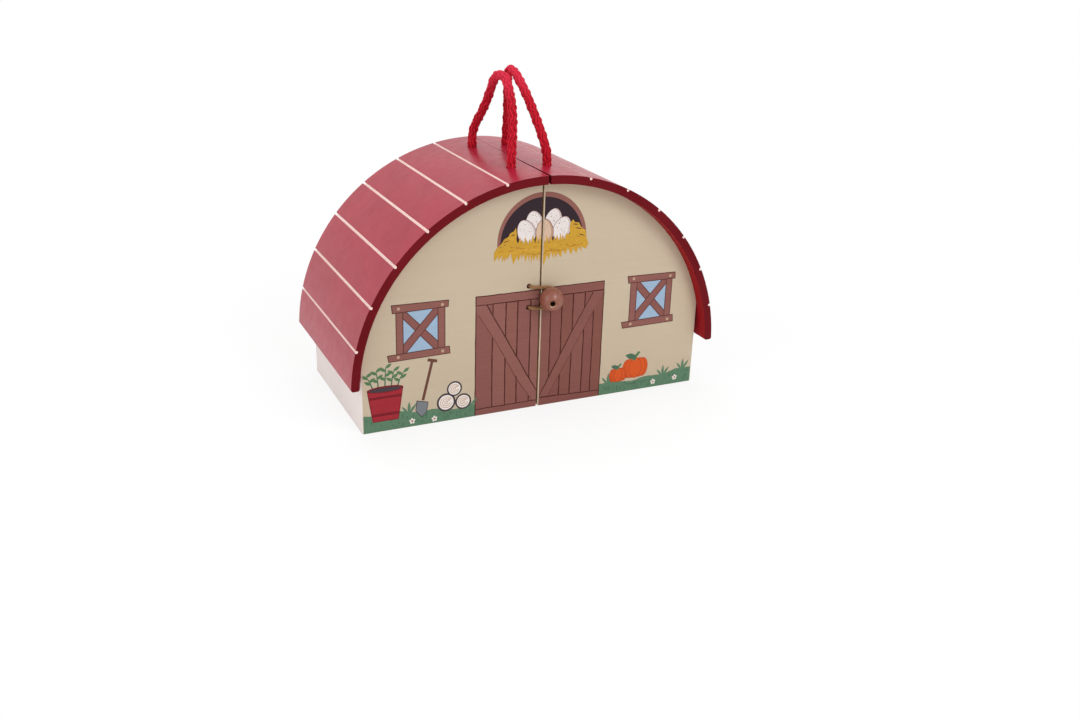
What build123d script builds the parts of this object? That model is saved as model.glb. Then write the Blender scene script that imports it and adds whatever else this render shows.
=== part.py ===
from build123d import *

import os
from math import cos, pi, radians, sin, sqrt, tan

# A carry-along toy barn. Two half-barns of bent and flat boards are hinged at the back and open
# like a book; a rope loop on each half is the carrying handle, and an elastic loop on the left
# half hooks over a wooden bead on the right half.
# Millimetres. X runs along the front, -Y is the front, +Z is up, and the origin is the middle of
# the underside.

# --- driving dimensions: the shell ------------------------------------------------------------
BARN_WIDTH = 280.0          # over the two side walls
PANEL_DEPTH = 130.0         # over the front and back panels
BOARD = 5.0                 # thickness of every flat board
ROOF_RADIUS = 150.5         # outside of the bent roof
ROOF_BOARD = 6.4
ROOF_CENTRE_Z = 33.5        # height of the roof's centre of curvature
ROOF_DEPTH = 150.0          # front edge to back edge
EAVES_Z = 39.2              # lower end of the roof
EAVES_ROUNDING = 1.8        # rounded corners of the lower end
WALL_CORNER_ROUNDING = 0.8  # upright outer corners of the end panels
SEAM_GAP_BACK = 0.2         # between the halves, from the hinges forward to where the seam opens
SEAM_GAP_FRONT = 1.9        # between the halves at the roof's front edge
SEAM_OPENS_Y = 28.0         # behind this the boards' edges lie close together

# --- roof grooves -----------------------------------------------------------------------------
GROOVES_PER_HALF = 6
GROOVE_PITCH_DEG = 12.7
GROOVE_WIDTH = 2.0
GROOVE_DEPTH = 1.8

# --- hinges at the back -----------------------------------------------------------------------
BATTEN_WIDTH = 16.0         # upright batten that carries the hinges
HINGE_HEIGHTS = {"upper": 138.0, "lower": 46.0}
HINGE_LENGTH = 30.0
HINGE_LEAF_WIDTH = 13.0     # from the pin's axis
HINGE_LEAF = 1.0            # thickness of the leaf
HINGE_LEAF_CORNER = 1.6
KNUCKLE_RADIUS = 2.2
KNUCKLE_COUNT = 5
KNUCKLE_END_GAP = 0.3
KNUCKLE_CLEARANCE = 0.3     # between a knuckle and the batten behind it
LEAF_KNUCKLE_GAP = 0.5      # between a leaf and the other leaf's knuckles
PIN_RADIUS = 1.1
PIN_RUNNING_FIT = 0.05
PIN_HEAD_RADIUS = 1.9
PIN_HEAD = 0.9
SCREW_SHANK_RADIUS = 1.2
SCREW_HEAD_RADIUS = 2.3
SCREW_LENGTH = 8.0
SCREW_POINT = 2.0
SCREW_CLEARANCE = 0.05
SCREW_FROM_AXIS = 8.2
SCREW_SPACING = 18.0

# --- rope handles -----------------------------------------------------------------------------
ROPE_RADIUS = 3.75
ROPE_HOLE_RADIUS = 3.9
ROPE_HOLE_X = 14.5
ROPE_HOLE_Y = 38.5
ROPE_CLEARANCE = 0.3        # between a loop's rounded end and the roof under it
ROPE_TOP_X = 3.95           # the loops lean together and stop just short of touching
ROPE_KNOT_RADIUS = 7.6
ROPE_KNOT_DROP = 6.7        # the knot's centre below the roof's inner face
ROPE_TAIL = 7.0             # loose end below the knot
ROPE_TAIL_LEAN_DEG = 18.0

# The loops' routes from the rear hole to the front hole, as (y, height above the swing axis).
LEFT_LOOP = [
    (38.5, 0.0), (40.8, 6.5), (38.0, 14.5), (31.5, 22.5), (25.5, 32.0), (21.8, 41.6),
    (19.0, 50.9), (14.5, 54.6), (5.0, 55.2), (-2.5, 54.4), (-12.5, 46.2), (-20.5, 38.5),
    (-27.0, 29.3), (-32.0, 18.0), (-36.0, 6.5), (-38.5, 0.0),
]
RIGHT_LOOP = [
    (38.5, 0.0), (34.5, 8.5), (29.0, 18.5), (23.5, 32.0), (18.5, 45.1), (15.5, 54.9),
    (8.5, 59.7), (-0.5, 57.6), (-9.5, 50.3), (-17.5, 42.4), (-25.0, 32.3), (-31.5, 23.0),
    (-37.0, 13.5), (-39.3, 5.0), (-38.5, 0.0),
]

# --- front closure ----------------------------------------------------------------------------
BEAD_RADIUS = 9.1
BEAD_CENTRE_X = 5.0
BEAD_CENTRE_Z = 90.1
BEAD_GAP = 0.05             # between the bead and the panel
BEAD_HOLE_RADIUS = 2.15
BEAD_COUNTERSINK_RADIUS = 3.4
BEAD_LEAN_DEG = 18.0        # the screw leans towards the elastic's pull
BEAD_DROOP_DEG = 7.0        # and its outer end hangs a little low
BEAD_SCREW_RADIUS = 2.1
BEAD_SCREW_TIP = 4.0        # the tip beyond the bead's centre
BEAD_SCREW_POINT = 2.4
BEAD_SCREW_HEAD_RADIUS = 3.9
BEAD_SCREW_HEAD = 2.2
BEAD_SCREW_SINK = 1.5       # how deep the leaning head sits in the board
ELASTIC_RADIUS = 1.2
ELASTIC_HOLE_RADIUS = 1.85
ELASTIC_HOLE_OFFSET = (-0.45, 0.25)  # the elastic is drawn to one side of its holes
ELASTIC_CLEARANCE = 0.3     # between the elastic and the panel under it
ELASTIC_KNOT_RADIUS = 3.1
ELASTIC_TAIL = 4.0

# The elastic's route from the upper hole round the bead to the lower hole, as (x, z).
ELASTIC_LOOP = [
    (-9.2, 99.1), (-3.8, 98.0), (2.0, 97.6), (8.0, 97.1), (12.6, 93.8), (13.6, 88.6),
    (11.4, 84.0), (6.4, 81.3), (0.6, 81.2), (-4.6, 82.0), (-9.2, 82.4),
]

# --- worked out from the driving dimensions ---------------------------------------------------
HALF_WIDTH = BARN_WIDTH / 2
PANEL_FRONT_Y = -PANEL_DEPTH / 2
PANEL_BACK_Y = PANEL_DEPTH / 2
ROOF_FRONT_Y = -ROOF_DEPTH / 2
ROOF_BACK_Y = ROOF_DEPTH / 2
ROOF_INSIDE = ROOF_RADIUS - ROOF_BOARD
ROOM_DEPTH = PANEL_DEPTH - 2 * BOARD
HINGE_Y = ROOF_BACK_Y + KNUCKLE_RADIUS + KNUCKLE_CLEARANCE
LEAF_BACK_Y = ROOF_BACK_Y + HINGE_LEAF
ROPE_SWING_Z = ROOF_CENTRE_Z + sqrt(
    (ROOF_RADIUS + ROPE_RADIUS + ROPE_CLEARANCE) ** 2 - ROPE_HOLE_X ** 2)
ELASTIC_Y = PANEL_FRONT_Y - ELASTIC_RADIUS - ELASTIC_CLEARANCE
TALL = 400.0                # longer than the whole barn, for cutting bodies

LEFT, RIGHT = -1, 1
SIDES = {"left": LEFT, "right": RIGHT}


def put_out(shape, node):
    """Writes one named piece."""
    shape.label = node
    export_step(shape, f"parts/{node}.step")


def board(outline, front_y, thickness):
    """An (x, z) outline made into a board from front_y towards the back."""
    face_plane = Plane(origin=(0, front_y, 0), x_dir=(1, 0, 0), z_dir=(0, -1, 0))
    return extrude(face_plane * outline, amount=-thickness)


def box(x, y, z):
    """A box between two limits along each axis."""
    size = [high - low for low, high in (x, y, z)]
    middle = [(low + high) / 2 for low, high in (x, y, z)]
    return Pos(*middle) * Box(*size)


def rod(start, end, radius):
    """A round rod between two points."""
    start, end = Vector(*start), Vector(*end)
    along = end - start
    length = along.length
    return Plane(origin=start, z_dir=along) * Cylinder(
        radius, length, align=(Align.CENTER, Align.CENTER, Align.MIN))


def disc(radius):
    """A disc round the roof's centre of curvature, as an (x, z) outline."""
    return Pos(0, ROOF_CENTRE_Z) * Circle(radius)


def seam():
    """The thin gap between the halves: even at the back, then widening towards the front."""
    widening = (SEAM_GAP_FRONT - SEAM_GAP_BACK) / (SEAM_OPENS_Y - ROOF_FRONT_Y)
    front_y, back_y = ROOF_FRONT_Y - BOARD, HINGE_Y + BOARD
    front = (SEAM_GAP_BACK + widening * (SEAM_OPENS_Y - front_y)) / 2
    back = SEAM_GAP_BACK / 2
    plan = Polyline((-front, front_y), (front, front_y), (back, SEAM_OPENS_Y), (back, back_y),
                    (-back, back_y), (-back, SEAM_OPENS_Y), close=True)
    return extrude(make_face(plan), amount=TALL)


# --- the shell --------------------------------------------------------------------------------
def groove_cutters(side):
    """Round-bottomed grooves across the roof, evenly spaced from the ridge."""
    radius = GROOVE_WIDTH / 2
    floor_centre = ROOF_RADIUS - GROOVE_DEPTH + radius
    section = Pos(0, floor_centre) * Circle(radius)
    section += Pos(0, floor_centre + GROOVE_DEPTH) * Rectangle(GROOVE_WIDTH, 2 * GROOVE_DEPTH)
    cutters = []
    for k in range(1, GROOVES_PER_HALF + 1):
        turned = Pos(0, ROOF_CENTRE_Z) * Rot(0, 0, -side * k * GROOVE_PITCH_DEG) * section
        cutters.append(board(turned, ROOF_FRONT_Y - BOARD, ROOF_DEPTH + 2 * BOARD))
    return cutters


def rope_holes(side):
    """Upright holes through the roof for the two ends of the rope."""
    return [rod((side * ROPE_HOLE_X, y, ROOF_CENTRE_Z + ROOF_INSIDE - 2 * BOARD),
                (side * ROPE_HOLE_X, y, ROPE_SWING_Z), ROPE_HOLE_RADIUS)
            for y in (-ROPE_HOLE_Y, ROPE_HOLE_Y)]


def roof(side):
    """Bent board: a grooved quarter arch that overhangs both end panels."""
    ring = disc(ROOF_RADIUS) - disc(ROOF_INSIDE)
    quarter = Pos(side * ROOF_RADIUS / 2, EAVES_Z + ROOF_RADIUS / 2) * Rectangle(
        ROOF_RADIUS, ROOF_RADIUS)
    section = ring & quarter
    eaves = section.vertices().filter_by_position(Axis.Y, EAVES_Z - 0.01, EAVES_Z + 0.01)
    section = fillet(eaves, EAVES_ROUNDING)
    return board(section, ROOF_FRONT_Y, ROOF_DEPTH) - groove_cutters(side) - seam() - rope_holes(side)


def end_panel_outline(side):
    """Half of an end panel: upright at the eaves, arched under the roof."""
    upright = Pos(side * HALF_WIDTH / 2, ROOF_RADIUS / 2) * Rectangle(HALF_WIDTH, ROOF_RADIUS)
    arch = Pos(side * HALF_WIDTH / 2, ROOF_RADIUS) * Rectangle(HALF_WIDTH, ROOF_RADIUS)
    return disc(ROOF_INSIDE) & (upright + arch)


def end_panel(side, front_y, outer_y):
    """A front or back half panel with its upright outer corner eased."""
    panel = board(end_panel_outline(side), front_y, BOARD) - seam()
    corner = [edge for edge in panel.edges().filter_by(Axis.Z)
              if abs(edge.center().X - side * HALF_WIDTH) < WALL_CORNER_ROUNDING
              and abs(edge.center().Y - outer_y) < WALL_CORNER_ROUNDING]
    return fillet(corner, WALL_CORNER_ROUNDING)


def front_panel(side):
    """The front half panel, with the closure's holes."""
    panel = end_panel(side, PANEL_FRONT_Y, PANEL_FRONT_Y)
    if side == LEFT:
        inside_y = PANEL_FRONT_Y + 2 * BOARD
        aside, up = ELASTIC_HOLE_OFFSET
        return panel - [rod((x + aside, PANEL_FRONT_Y - BOARD, z + up),
                            (x + aside, inside_y, z + up), ELASTIC_HOLE_RADIUS)
                        for x, z in elastic_end_places()]
    return panel - bead_axis_plane() * bead_screw_hole()


def back_panel(side):
    return end_panel(side, PANEL_BACK_Y - BOARD, PANEL_BACK_Y)


def side_wall(side):
    """Low wall between the end panels, its top edge planed to the roof's curve."""
    blank = Pos(side * (HALF_WIDTH - BOARD / 2), ROOF_RADIUS / 2) * Rectangle(BOARD, ROOF_RADIUS)
    return board(blank & disc(ROOF_INSIDE), -ROOM_DEPTH / 2, ROOM_DEPTH)


def floor(side):
    inner = side * (HALF_WIDTH - BOARD)
    room = ROOM_DEPTH / 2
    return box(sorted((0, inner)), (-room, room), (0, BOARD)) - seam()


def back_batten(side):
    """Upright behind the back panel: it carries the hinges level with the roof's back edge."""
    strip = Pos(side * BATTEN_WIDTH / 2, ROOF_RADIUS / 2) * Rectangle(BATTEN_WIDTH, 2 * ROOF_RADIUS)
    standing = strip & disc(ROOF_INSIDE) & (Pos(0, ROOF_RADIUS) * Rectangle(BARN_WIDTH, 2 * ROOF_RADIUS))
    batten = board(standing, PANEL_BACK_Y, ROOF_BACK_Y - PANEL_BACK_Y) - seam()
    hole_end_y = LEAF_BACK_Y - SCREW_LENGTH - SCREW_CLEARANCE
    return batten - [rod((side * SCREW_FROM_AXIS, hole_end_y, z), (side * SCREW_FROM_AXIS, LEAF_BACK_Y, z),
                         SCREW_SHANK_RADIUS + SCREW_CLEARANCE) for z in screw_heights()]


# --- the hinges -------------------------------------------------------------------------------
def screw_heights():
    return [z + offset for z in HINGE_HEIGHTS.values()
            for offset in (-SCREW_SPACING / 2, SCREW_SPACING / 2)]


def screw(side, z, extra=0.0):
    """A countersunk screw, head flush with the leaf. Extra is a clearance all round it."""
    shank, head = SCREW_SHANK_RADIUS + extra, SCREW_HEAD_RADIUS + extra
    deep = SCREW_LENGTH + extra
    half = make_face(Polyline(
        (0, 0), (head, 0), (shank, -HINGE_LEAF - extra), (shank, SCREW_POINT - deep),
        (0, -deep), close=True))
    turned = revolve(Plane.XZ * half, axis=Axis.Z)
    outward = Plane(origin=(side * SCREW_FROM_AXIS, LEAF_BACK_Y, z), z_dir=(0, 1, 0))
    return outward * turned


def knuckle_spans(side, z_middle):
    """The lengths of pin that this side's leaf wraps: the right leaf has the outer ones."""
    pitch = HINGE_LENGTH / KNUCKLE_COUNT
    first = 0 if side == RIGHT else 1
    bottom = z_middle - HINGE_LENGTH / 2
    return [(bottom + k * pitch + KNUCKLE_END_GAP / 2, bottom + (k + 1) * pitch - KNUCKLE_END_GAP / 2)
            for k in range(first, KNUCKLE_COUNT, 2)]


def hinge_leaf(side, z_middle):
    """A leaf plate with rolled knuckles on the pin's axis and two countersunk holes."""
    low, high = z_middle - HINGE_LENGTH / 2, z_middle + HINGE_LENGTH / 2
    start = KNUCKLE_RADIUS + LEAF_KNUCKLE_GAP
    plate = box(sorted((side * start, side * HINGE_LEAF_WIDTH)), (ROOF_BACK_Y, LEAF_BACK_Y),
                (low, high))
    outer = plate.edges().filter_by(Axis.Y).group_by(Axis.X)[-1 if side == RIGHT else 0]
    leaf = fillet(outer, HINGE_LEAF_CORNER)
    for bottom, top in knuckle_spans(side, z_middle):
        leaf += rod((0, HINGE_Y, bottom), (0, HINGE_Y, top), KNUCKLE_RADIUS)
        leaf += box(sorted((0, side * start)), (HINGE_Y - KNUCKLE_RADIUS, LEAF_BACK_Y + KNUCKLE_CLEARANCE),
                    (bottom, top))
    leaf -= rod((0, HINGE_Y, low), (0, HINGE_Y, high), PIN_RADIUS + PIN_RUNNING_FIT)
    return leaf - [screw(side, z_middle + offset, SCREW_CLEARANCE)
                   for offset in (-SCREW_SPACING / 2, SCREW_SPACING / 2)]


def hinge_pin(z_middle):
    """A plain pin with a small head at each end."""
    low, high = z_middle - HINGE_LENGTH / 2, z_middle + HINGE_LENGTH / 2
    pin = rod((0, HINGE_Y, low), (0, HINGE_Y, high), PIN_RADIUS)
    pin += rod((0, HINGE_Y, low - PIN_HEAD), (0, HINGE_Y, low), PIN_HEAD_RADIUS)
    return pin + rod((0, HINGE_Y, high), (0, HINGE_Y, high + PIN_HEAD), PIN_HEAD_RADIUS)


# --- cords ------------------------------------------------------------------------------------
BEND_SHARE = 0.45           # of the shorter run beside a corner that its arc takes up


def bend_radii(points):
    """For each corner of a route, the largest arc that its two runs leave room for."""
    points = [Vector(*p) for p in points]
    radii = []
    for before, here, after in zip(points, points[1:], points[2:]):
        turn = (here - before).get_angle(after - here)
        shorter = min((here - before).length, (after - here).length)
        radii.append(BEND_SHARE * shorter / tan(radians(turn) / 2))
    return radii


def cord(name, points, radius):
    """A round cord along straight runs joined by arcs, with a rounded end at each end."""
    radii = bend_radii(points)
    path = FilletPolyline(*points, radius=radii)
    start = Plane(origin=path @ 0, z_dir=path % 0)
    tube = sweep(start * Circle(radius), path=path)
    print(f"{name}: {path.length:.1f} mm long, bends",
          [round(r, 1) for r in radii],
          f"volume / (section x length) {tube.volume / (pi * radius ** 2 * path.length):.4f}")
    for end in (path @ 0, path @ 1):
        tube += Pos(*end) * Sphere(radius)
    return tube


def rope_route(side, loop):
    """A handle loop's points: it leans towards the ridge until it nearly meets the other."""
    top = max(height for _, height in loop)
    lean = (ROPE_HOLE_X - ROPE_TOP_X) / top
    return [(side * (ROPE_HOLE_X - lean * height), y, ROPE_SWING_Z + height) for y, height in loop]


def rope_handle(side):
    loop = LEFT_LOOP if side == LEFT else RIGHT_LOOP
    return cord("rope handle", rope_route(side, loop), ROPE_RADIUS)


def rope_ends(side):
    """The rope's two ends through the roof, each with a stopper knot and a short tail inside."""
    ends = []
    inner_z = ROOF_CENTRE_Z + sqrt(ROOF_INSIDE ** 2 - ROPE_HOLE_X ** 2)
    for y in (-ROPE_HOLE_Y, ROPE_HOLE_Y):
        x = side * ROPE_HOLE_X
        knot_z = inner_z - ROPE_KNOT_DROP
        upper = rod((x, y, knot_z), (x, y, ROPE_SWING_Z), ROPE_RADIUS)
        upper &= board(disc(ROOF_RADIUS), ROOF_FRONT_Y, ROOF_DEPTH)
        knot = Pos(x, y, knot_z) * Sphere(ROPE_KNOT_RADIUS)
        knot &= board(disc(ROOF_INSIDE), ROOF_FRONT_Y, ROOF_DEPTH)
        lean = radians(ROPE_TAIL_LEAN_DEG)
        reach = ROPE_KNOT_RADIUS + ROPE_TAIL
        tail = rod((x, y, knot_z),
                   (x + side * reach * sin(lean), y, knot_z - reach * cos(lean)), ROPE_RADIUS)
        ends.append(upper + knot + tail)
    return Compound(children=ends)


# --- the closure ------------------------------------------------------------------------------
def bead_axis_plane():
    """The bead's centre, with Z out along the leaning screw."""
    lean, droop = radians(BEAD_LEAN_DEG), radians(BEAD_DROOP_DEG)
    centre_y = PANEL_FRONT_Y - BEAD_RADIUS - BEAD_GAP
    return Plane(origin=(BEAD_CENTRE_X, centre_y, BEAD_CENTRE_Z), x_dir=(cos(lean), -sin(lean), 0),
                 z_dir=(-sin(lean) * cos(droop), -cos(lean) * cos(droop), -sin(droop)))


def bead_screw_seat():
    """Where the screw's head starts, measured back along the screw from the bead's centre."""
    slant = cos(radians(BEAD_LEAN_DEG)) * cos(radians(BEAD_DROOP_DEG))
    inner_face = (BEAD_RADIUS + BEAD_GAP + BOARD) / slant
    return inner_face - BEAD_SCREW_SINK


def bead_screw_hole():
    """Clearance for the leaning screw and a seat for its head, in the bead's own frame."""
    seat = bead_screw_seat()
    hole = rod((0, 0, -seat - BOARD), (0, 0, 0), BEAD_HOLE_RADIUS)
    return hole + rod((0, 0, -seat - BOARD), (0, 0, -seat), BEAD_SCREW_HEAD_RADIUS + SCREW_CLEARANCE)


def closing_bead():
    """A turned ball with a countersunk hole right through."""
    half = make_face(Polyline((0, -BEAD_RADIUS), (BEAD_RADIUS, -BEAD_RADIUS),
                              (BEAD_RADIUS, BEAD_RADIUS), (0, BEAD_RADIUS), close=True))
    half &= Circle(BEAD_RADIUS)
    mouth = sqrt(BEAD_RADIUS ** 2 - BEAD_COUNTERSINK_RADIUS ** 2)
    sink = BEAD_COUNTERSINK_RADIUS - BEAD_HOLE_RADIUS
    bore = make_face(Polyline(
        (0, -BEAD_RADIUS), (BEAD_COUNTERSINK_RADIUS, -BEAD_RADIUS), (BEAD_COUNTERSINK_RADIUS, -mouth),
        (BEAD_HOLE_RADIUS, sink - mouth), (BEAD_HOLE_RADIUS, mouth - sink),
        (BEAD_COUNTERSINK_RADIUS, mouth), (BEAD_COUNTERSINK_RADIUS, BEAD_RADIUS), (0, BEAD_RADIUS),
        close=True))
    return bead_axis_plane() * revolve(Plane.XZ * (half - bore), axis=Axis.Z)


def bead_screw():
    """Pan-headed screw from inside the panel; its point ends within the bead."""
    seat = bead_screw_seat()
    half = make_face(Polyline(
        (0, -seat - BEAD_SCREW_HEAD), (BEAD_SCREW_HEAD_RADIUS - 1.0, -seat - BEAD_SCREW_HEAD),
        (BEAD_SCREW_HEAD_RADIUS, 1.0 - seat - BEAD_SCREW_HEAD), (BEAD_SCREW_HEAD_RADIUS, -seat),
        (BEAD_SCREW_RADIUS, -seat), (BEAD_SCREW_RADIUS, BEAD_SCREW_TIP - BEAD_SCREW_POINT),
        (0, BEAD_SCREW_TIP), close=True))
    return bead_axis_plane() * revolve(Plane.XZ * half, axis=Axis.Z)


def elastic_end_places():
    return [ELASTIC_LOOP[0], ELASTIC_LOOP[-1]]


def closing_elastic():
    """The elastic loop, lying just clear of the panels and round the back of the bead."""
    return cord("closing elastic", [(x, ELASTIC_Y, z) for x, z in ELASTIC_LOOP], ELASTIC_RADIUS)


def elastic_ends():
    """The elastic's ends through the left panel, each knotted on the inside."""
    ends = []
    inner_y = PANEL_FRONT_Y + BOARD
    for x, z in elastic_end_places():
        through = rod((x, PANEL_FRONT_Y, z), (x, inner_y + BOARD / 2, z), ELASTIC_RADIUS)
        knot = Pos(x, inner_y + ELASTIC_KNOT_RADIUS - BEAD_GAP, z) * Sphere(ELASTIC_KNOT_RADIUS)
        knot &= box((-TALL, TALL), (inner_y, TALL), (0, TALL))
        start = (x, inner_y + ELASTIC_KNOT_RADIUS, z)
        end = (x - ELASTIC_TAIL, start[1] + BOARD / 2, z - ELASTIC_TAIL)
        ends.append(through + knot + rod(start, end, ELASTIC_RADIUS))
    return Compound(children=ends)


def main():
    os.makedirs("parts", exist_ok=True)
    for name, side in SIDES.items():
        put_out(roof(side), f"{name}_roof")
        put_out(front_panel(side), f"{name}_front_panel")
        put_out(back_panel(side), f"{name}_back_panel")
        put_out(side_wall(side), f"{name}_side_wall")
        put_out(floor(side), f"{name}_floor")
        put_out(back_batten(side), f"{name}_back_batten")
        for level, z_middle in HINGE_HEIGHTS.items():
            put_out(hinge_leaf(side, z_middle), f"{level}_hinge_{name}_leaf")
        put_out(Compound(children=[screw(side, z) for z in screw_heights()]), f"{name}_hinge_screws")
        put_out(rope_handle(side), f"{name}_rope_handle")
        put_out(rope_ends(side), f"{name}_rope_ends")
    for level, z_middle in HINGE_HEIGHTS.items():
        put_out(hinge_pin(z_middle), f"{level}_hinge_pin")
    put_out(closing_bead(), "closing_bead")
    put_out(bead_screw(), "bead_screw")
    put_out(closing_elastic(), "closing_elastic")
    put_out(elastic_ends(), "elastic_ends")


main()
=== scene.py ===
import math
import random

import bpy
from mathutils import Matrix, Vector
from mathutils.geometry import delaunay_2d_cdt, intersect_line_line_2d


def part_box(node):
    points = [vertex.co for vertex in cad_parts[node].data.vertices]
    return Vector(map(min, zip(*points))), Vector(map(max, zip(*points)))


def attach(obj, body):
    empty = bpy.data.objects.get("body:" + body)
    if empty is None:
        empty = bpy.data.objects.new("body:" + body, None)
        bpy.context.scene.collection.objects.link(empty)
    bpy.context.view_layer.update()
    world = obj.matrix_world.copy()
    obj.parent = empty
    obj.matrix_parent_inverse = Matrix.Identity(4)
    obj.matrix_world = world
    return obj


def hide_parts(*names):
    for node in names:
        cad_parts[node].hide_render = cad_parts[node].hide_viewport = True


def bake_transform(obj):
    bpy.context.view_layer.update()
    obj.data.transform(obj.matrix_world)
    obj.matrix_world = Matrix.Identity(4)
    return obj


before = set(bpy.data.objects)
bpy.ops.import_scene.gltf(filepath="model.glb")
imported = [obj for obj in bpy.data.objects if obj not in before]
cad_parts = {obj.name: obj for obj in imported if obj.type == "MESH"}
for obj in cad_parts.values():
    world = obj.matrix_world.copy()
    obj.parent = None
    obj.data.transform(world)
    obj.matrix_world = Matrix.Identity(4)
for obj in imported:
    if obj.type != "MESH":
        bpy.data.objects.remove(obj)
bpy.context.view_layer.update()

MM = 0.001

# --- places and sizes in metres, from the frame where it gives them ---
SIDES = {"left": -1, "right": 1}
FRONT_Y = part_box("left_front_panel")[0].y
PANEL_INSIDE_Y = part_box("left_front_panel")[1].y
HALF_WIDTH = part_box("right_side_wall")[1].x
ROOF_RADIUS = 0.1505
ROOF_BOARD = 0.0064
ROOF_CENTRE_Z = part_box("right_roof")[1].z - ROOF_RADIUS
ROPE_HOLE_X = 0.0145
ROPE_RADIUS = 0.00375
BEAD_CENTRE = Vector((0.005, -0.07415, 0.0901))
BEAD_BORE, BEAD_RIM, BEAD_RIM_HEIGHT = 0.00217, 0.0031, 0.0086      # radii, and the rim from the middle
BEAD_LEAN, BEAD_DROOP = math.radians(18), math.radians(7)
BEAD_AXIS = Vector((-math.sin(BEAD_LEAN) * math.cos(BEAD_DROOP), -math.cos(BEAD_LEAN) * math.cos(BEAD_DROOP),
                    -math.sin(BEAD_DROOP)))
ELASTIC_HOLES = [(-9.65, 99.35), (-9.65, 82.65)]     # (x, z) in millimetres, like all painted shapes
ELASTIC_HOLE_RADIUS = 1.85

random.seed(11)


# --- materials ---
def rgb(red, green, blue):
    """A screen colour from 0 to 255 as the linear colour that a socket takes."""
    def linear(value):
        value /= 255
        return value / 12.92 if value <= 0.04045 else ((value + 0.055) / 1.055) ** 2.4
    return (linear(red), linear(green), linear(blue), 1.0)


def shaded(colour, share):
    """The colour with its light multiplied by share."""
    return [min(1.0, c * share) for c in colour[:3]] + [1.0]


class Nodes:
    """A node tree being filled. Its textures are placed in millimetres."""

    def __init__(self, tree):
        self.tree = tree

    def feed(self, socket, value):
        if isinstance(value, bpy.types.NodeSocket):
            self.tree.links.new(value, socket)
        else:
            socket.default_value = value

    def add(self, kind, inputs=None, **settings):
        node = self.tree.nodes.new("ShaderNode" + kind)
        for name, value in settings.items():
            setattr(node, name, value)
        for socket, value in (inputs or {}).items():
            self.feed(node.inputs[socket], value)
        return node

    def place(self, squeeze=(1, 1, 1), turn=(0, 0, 0)):
        """The surface's own coordinates in millimetres, multiplied by squeeze along each axis."""
        source = self.add("TexCoord").outputs["Object"]
        scale = [1000 * s for s in squeeze]
        return self.add("Mapping", {"Vector": source, "Rotation": turn, "Scale": scale}).outputs["Vector"]

    def axis(self, name):
        """One of the surface's own coordinates in millimetres."""
        return self.add("SeparateXYZ", {"Vector": self.place()}).outputs[name]

    def noise(self, place, scale, detail=3.0, roughness=0.55, distortion=0.0):
        return self.add("TexNoise", {"Vector": place, "Scale": scale, "Detail": detail,
                                     "Roughness": roughness, "Distortion": distortion}).outputs["Fac"]

    def spread(self, value, low, high, to_low=0.0, to_high=1.0):
        """Stretches a value so that low to high becomes to_low to to_high."""
        return self.add("MapRange", {"Value": value, "From Min": low, "From Max": high,
                                     "To Min": to_low, "To Max": to_high}).outputs["Result"]

    def maths(self, operation, a, b=0.0):
        return self.add("Math", {0: a, 1: b}, operation=operation).outputs[0]

    def weigh(self, a, share_a, b, share_b):
        """The sum of two values, each times its share."""
        return self.maths("ADD", self.maths("MULTIPLY", a, share_a), self.maths("MULTIPLY", b, share_b))

    def tone(self, value, low, high, at_low, at_high, most=1.0):
        """A colour from at_low to at_high, or most of the way, as the value goes from low to high."""
        share = self.spread(value, low, high, 0.0, most)
        return self.add("Mix", {"Factor": share, 6: at_low, 7: at_high}, data_type="RGBA").outputs[2]

    def grain(self, squeeze, scale=0.9):
        """Wood grain from 0 to 1: fine streaks that wander, over slow broad ones."""
        fine = self.noise(self.place(squeeze), scale, 5.0, 0.65, 0.5)
        broad = self.noise(self.place(squeeze), scale * 0.14, 2.0, 0.5, 1.5)
        return self.weigh(fine, 0.6, broad, 0.4)


class Finish(Nodes):
    """A procedural material round one Principled shader."""

    def __init__(self, name, roughness, **sockets):
        self.material = bpy.data.materials.new(name)
        self.material.use_nodes = True
        super().__init__(self.material.node_tree)
        self.shader = self.tree.nodes["Principled BSDF"]
        self.rough(roughness)
        for socket, value in sockets.items():
            self.shader.inputs[socket.replace("_", " ")].default_value = value

    def colour(self, value):
        self.feed(self.shader.inputs["Base Color"], value)

    def rough(self, value):
        self.feed(self.shader.inputs["Roughness"], value)

    def bump(self, height, distance):
        """Relief: distance is the height of the texture's white over its black, in millimetres."""
        node = self.add("Bump", {"Height": height, "Distance": distance * MM, "Strength": 1.0})
        previous = self.shader.inputs["Normal"]
        if previous.is_linked:
            self.feed(node.inputs["Normal"], previous.links[0].from_socket)
        self.feed(previous, node.outputs["Normal"])


# squeezes for grain that runs up a panel, from front to back, and from side to side
GRAIN_UP, GRAIN_DEEP, GRAIN_ACROSS = (1.0, 1.0, 0.06), (1.0, 0.06, 1.0), (0.06, 1.0, 1.0)


def painted_wood(name, light, dark, squeeze, relief, grain_share):
    """A thin coat over wood: the grain still shows as a faint change of colour and relief."""
    finish = Finish(name, 0.55)
    lines = finish.grain(squeeze)
    base = finish.tone(lines, 0.35, 0.65, light, dark, grain_share)
    finish.colour(finish.tone(finish.noise(finish.place(), 0.02, 2.0), 0.3, 0.7, base, dark, 0.35))
    finish.rough(finish.spread(lines, 0.3, 0.7, 0.49, 0.63))
    pores = finish.spread(finish.noise(finish.place(squeeze), 2.6, 2.0), 0.62, 0.74)
    finish.bump(lines, relief)
    finish.bump(pores, -0.02)
    return finish.material


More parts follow.
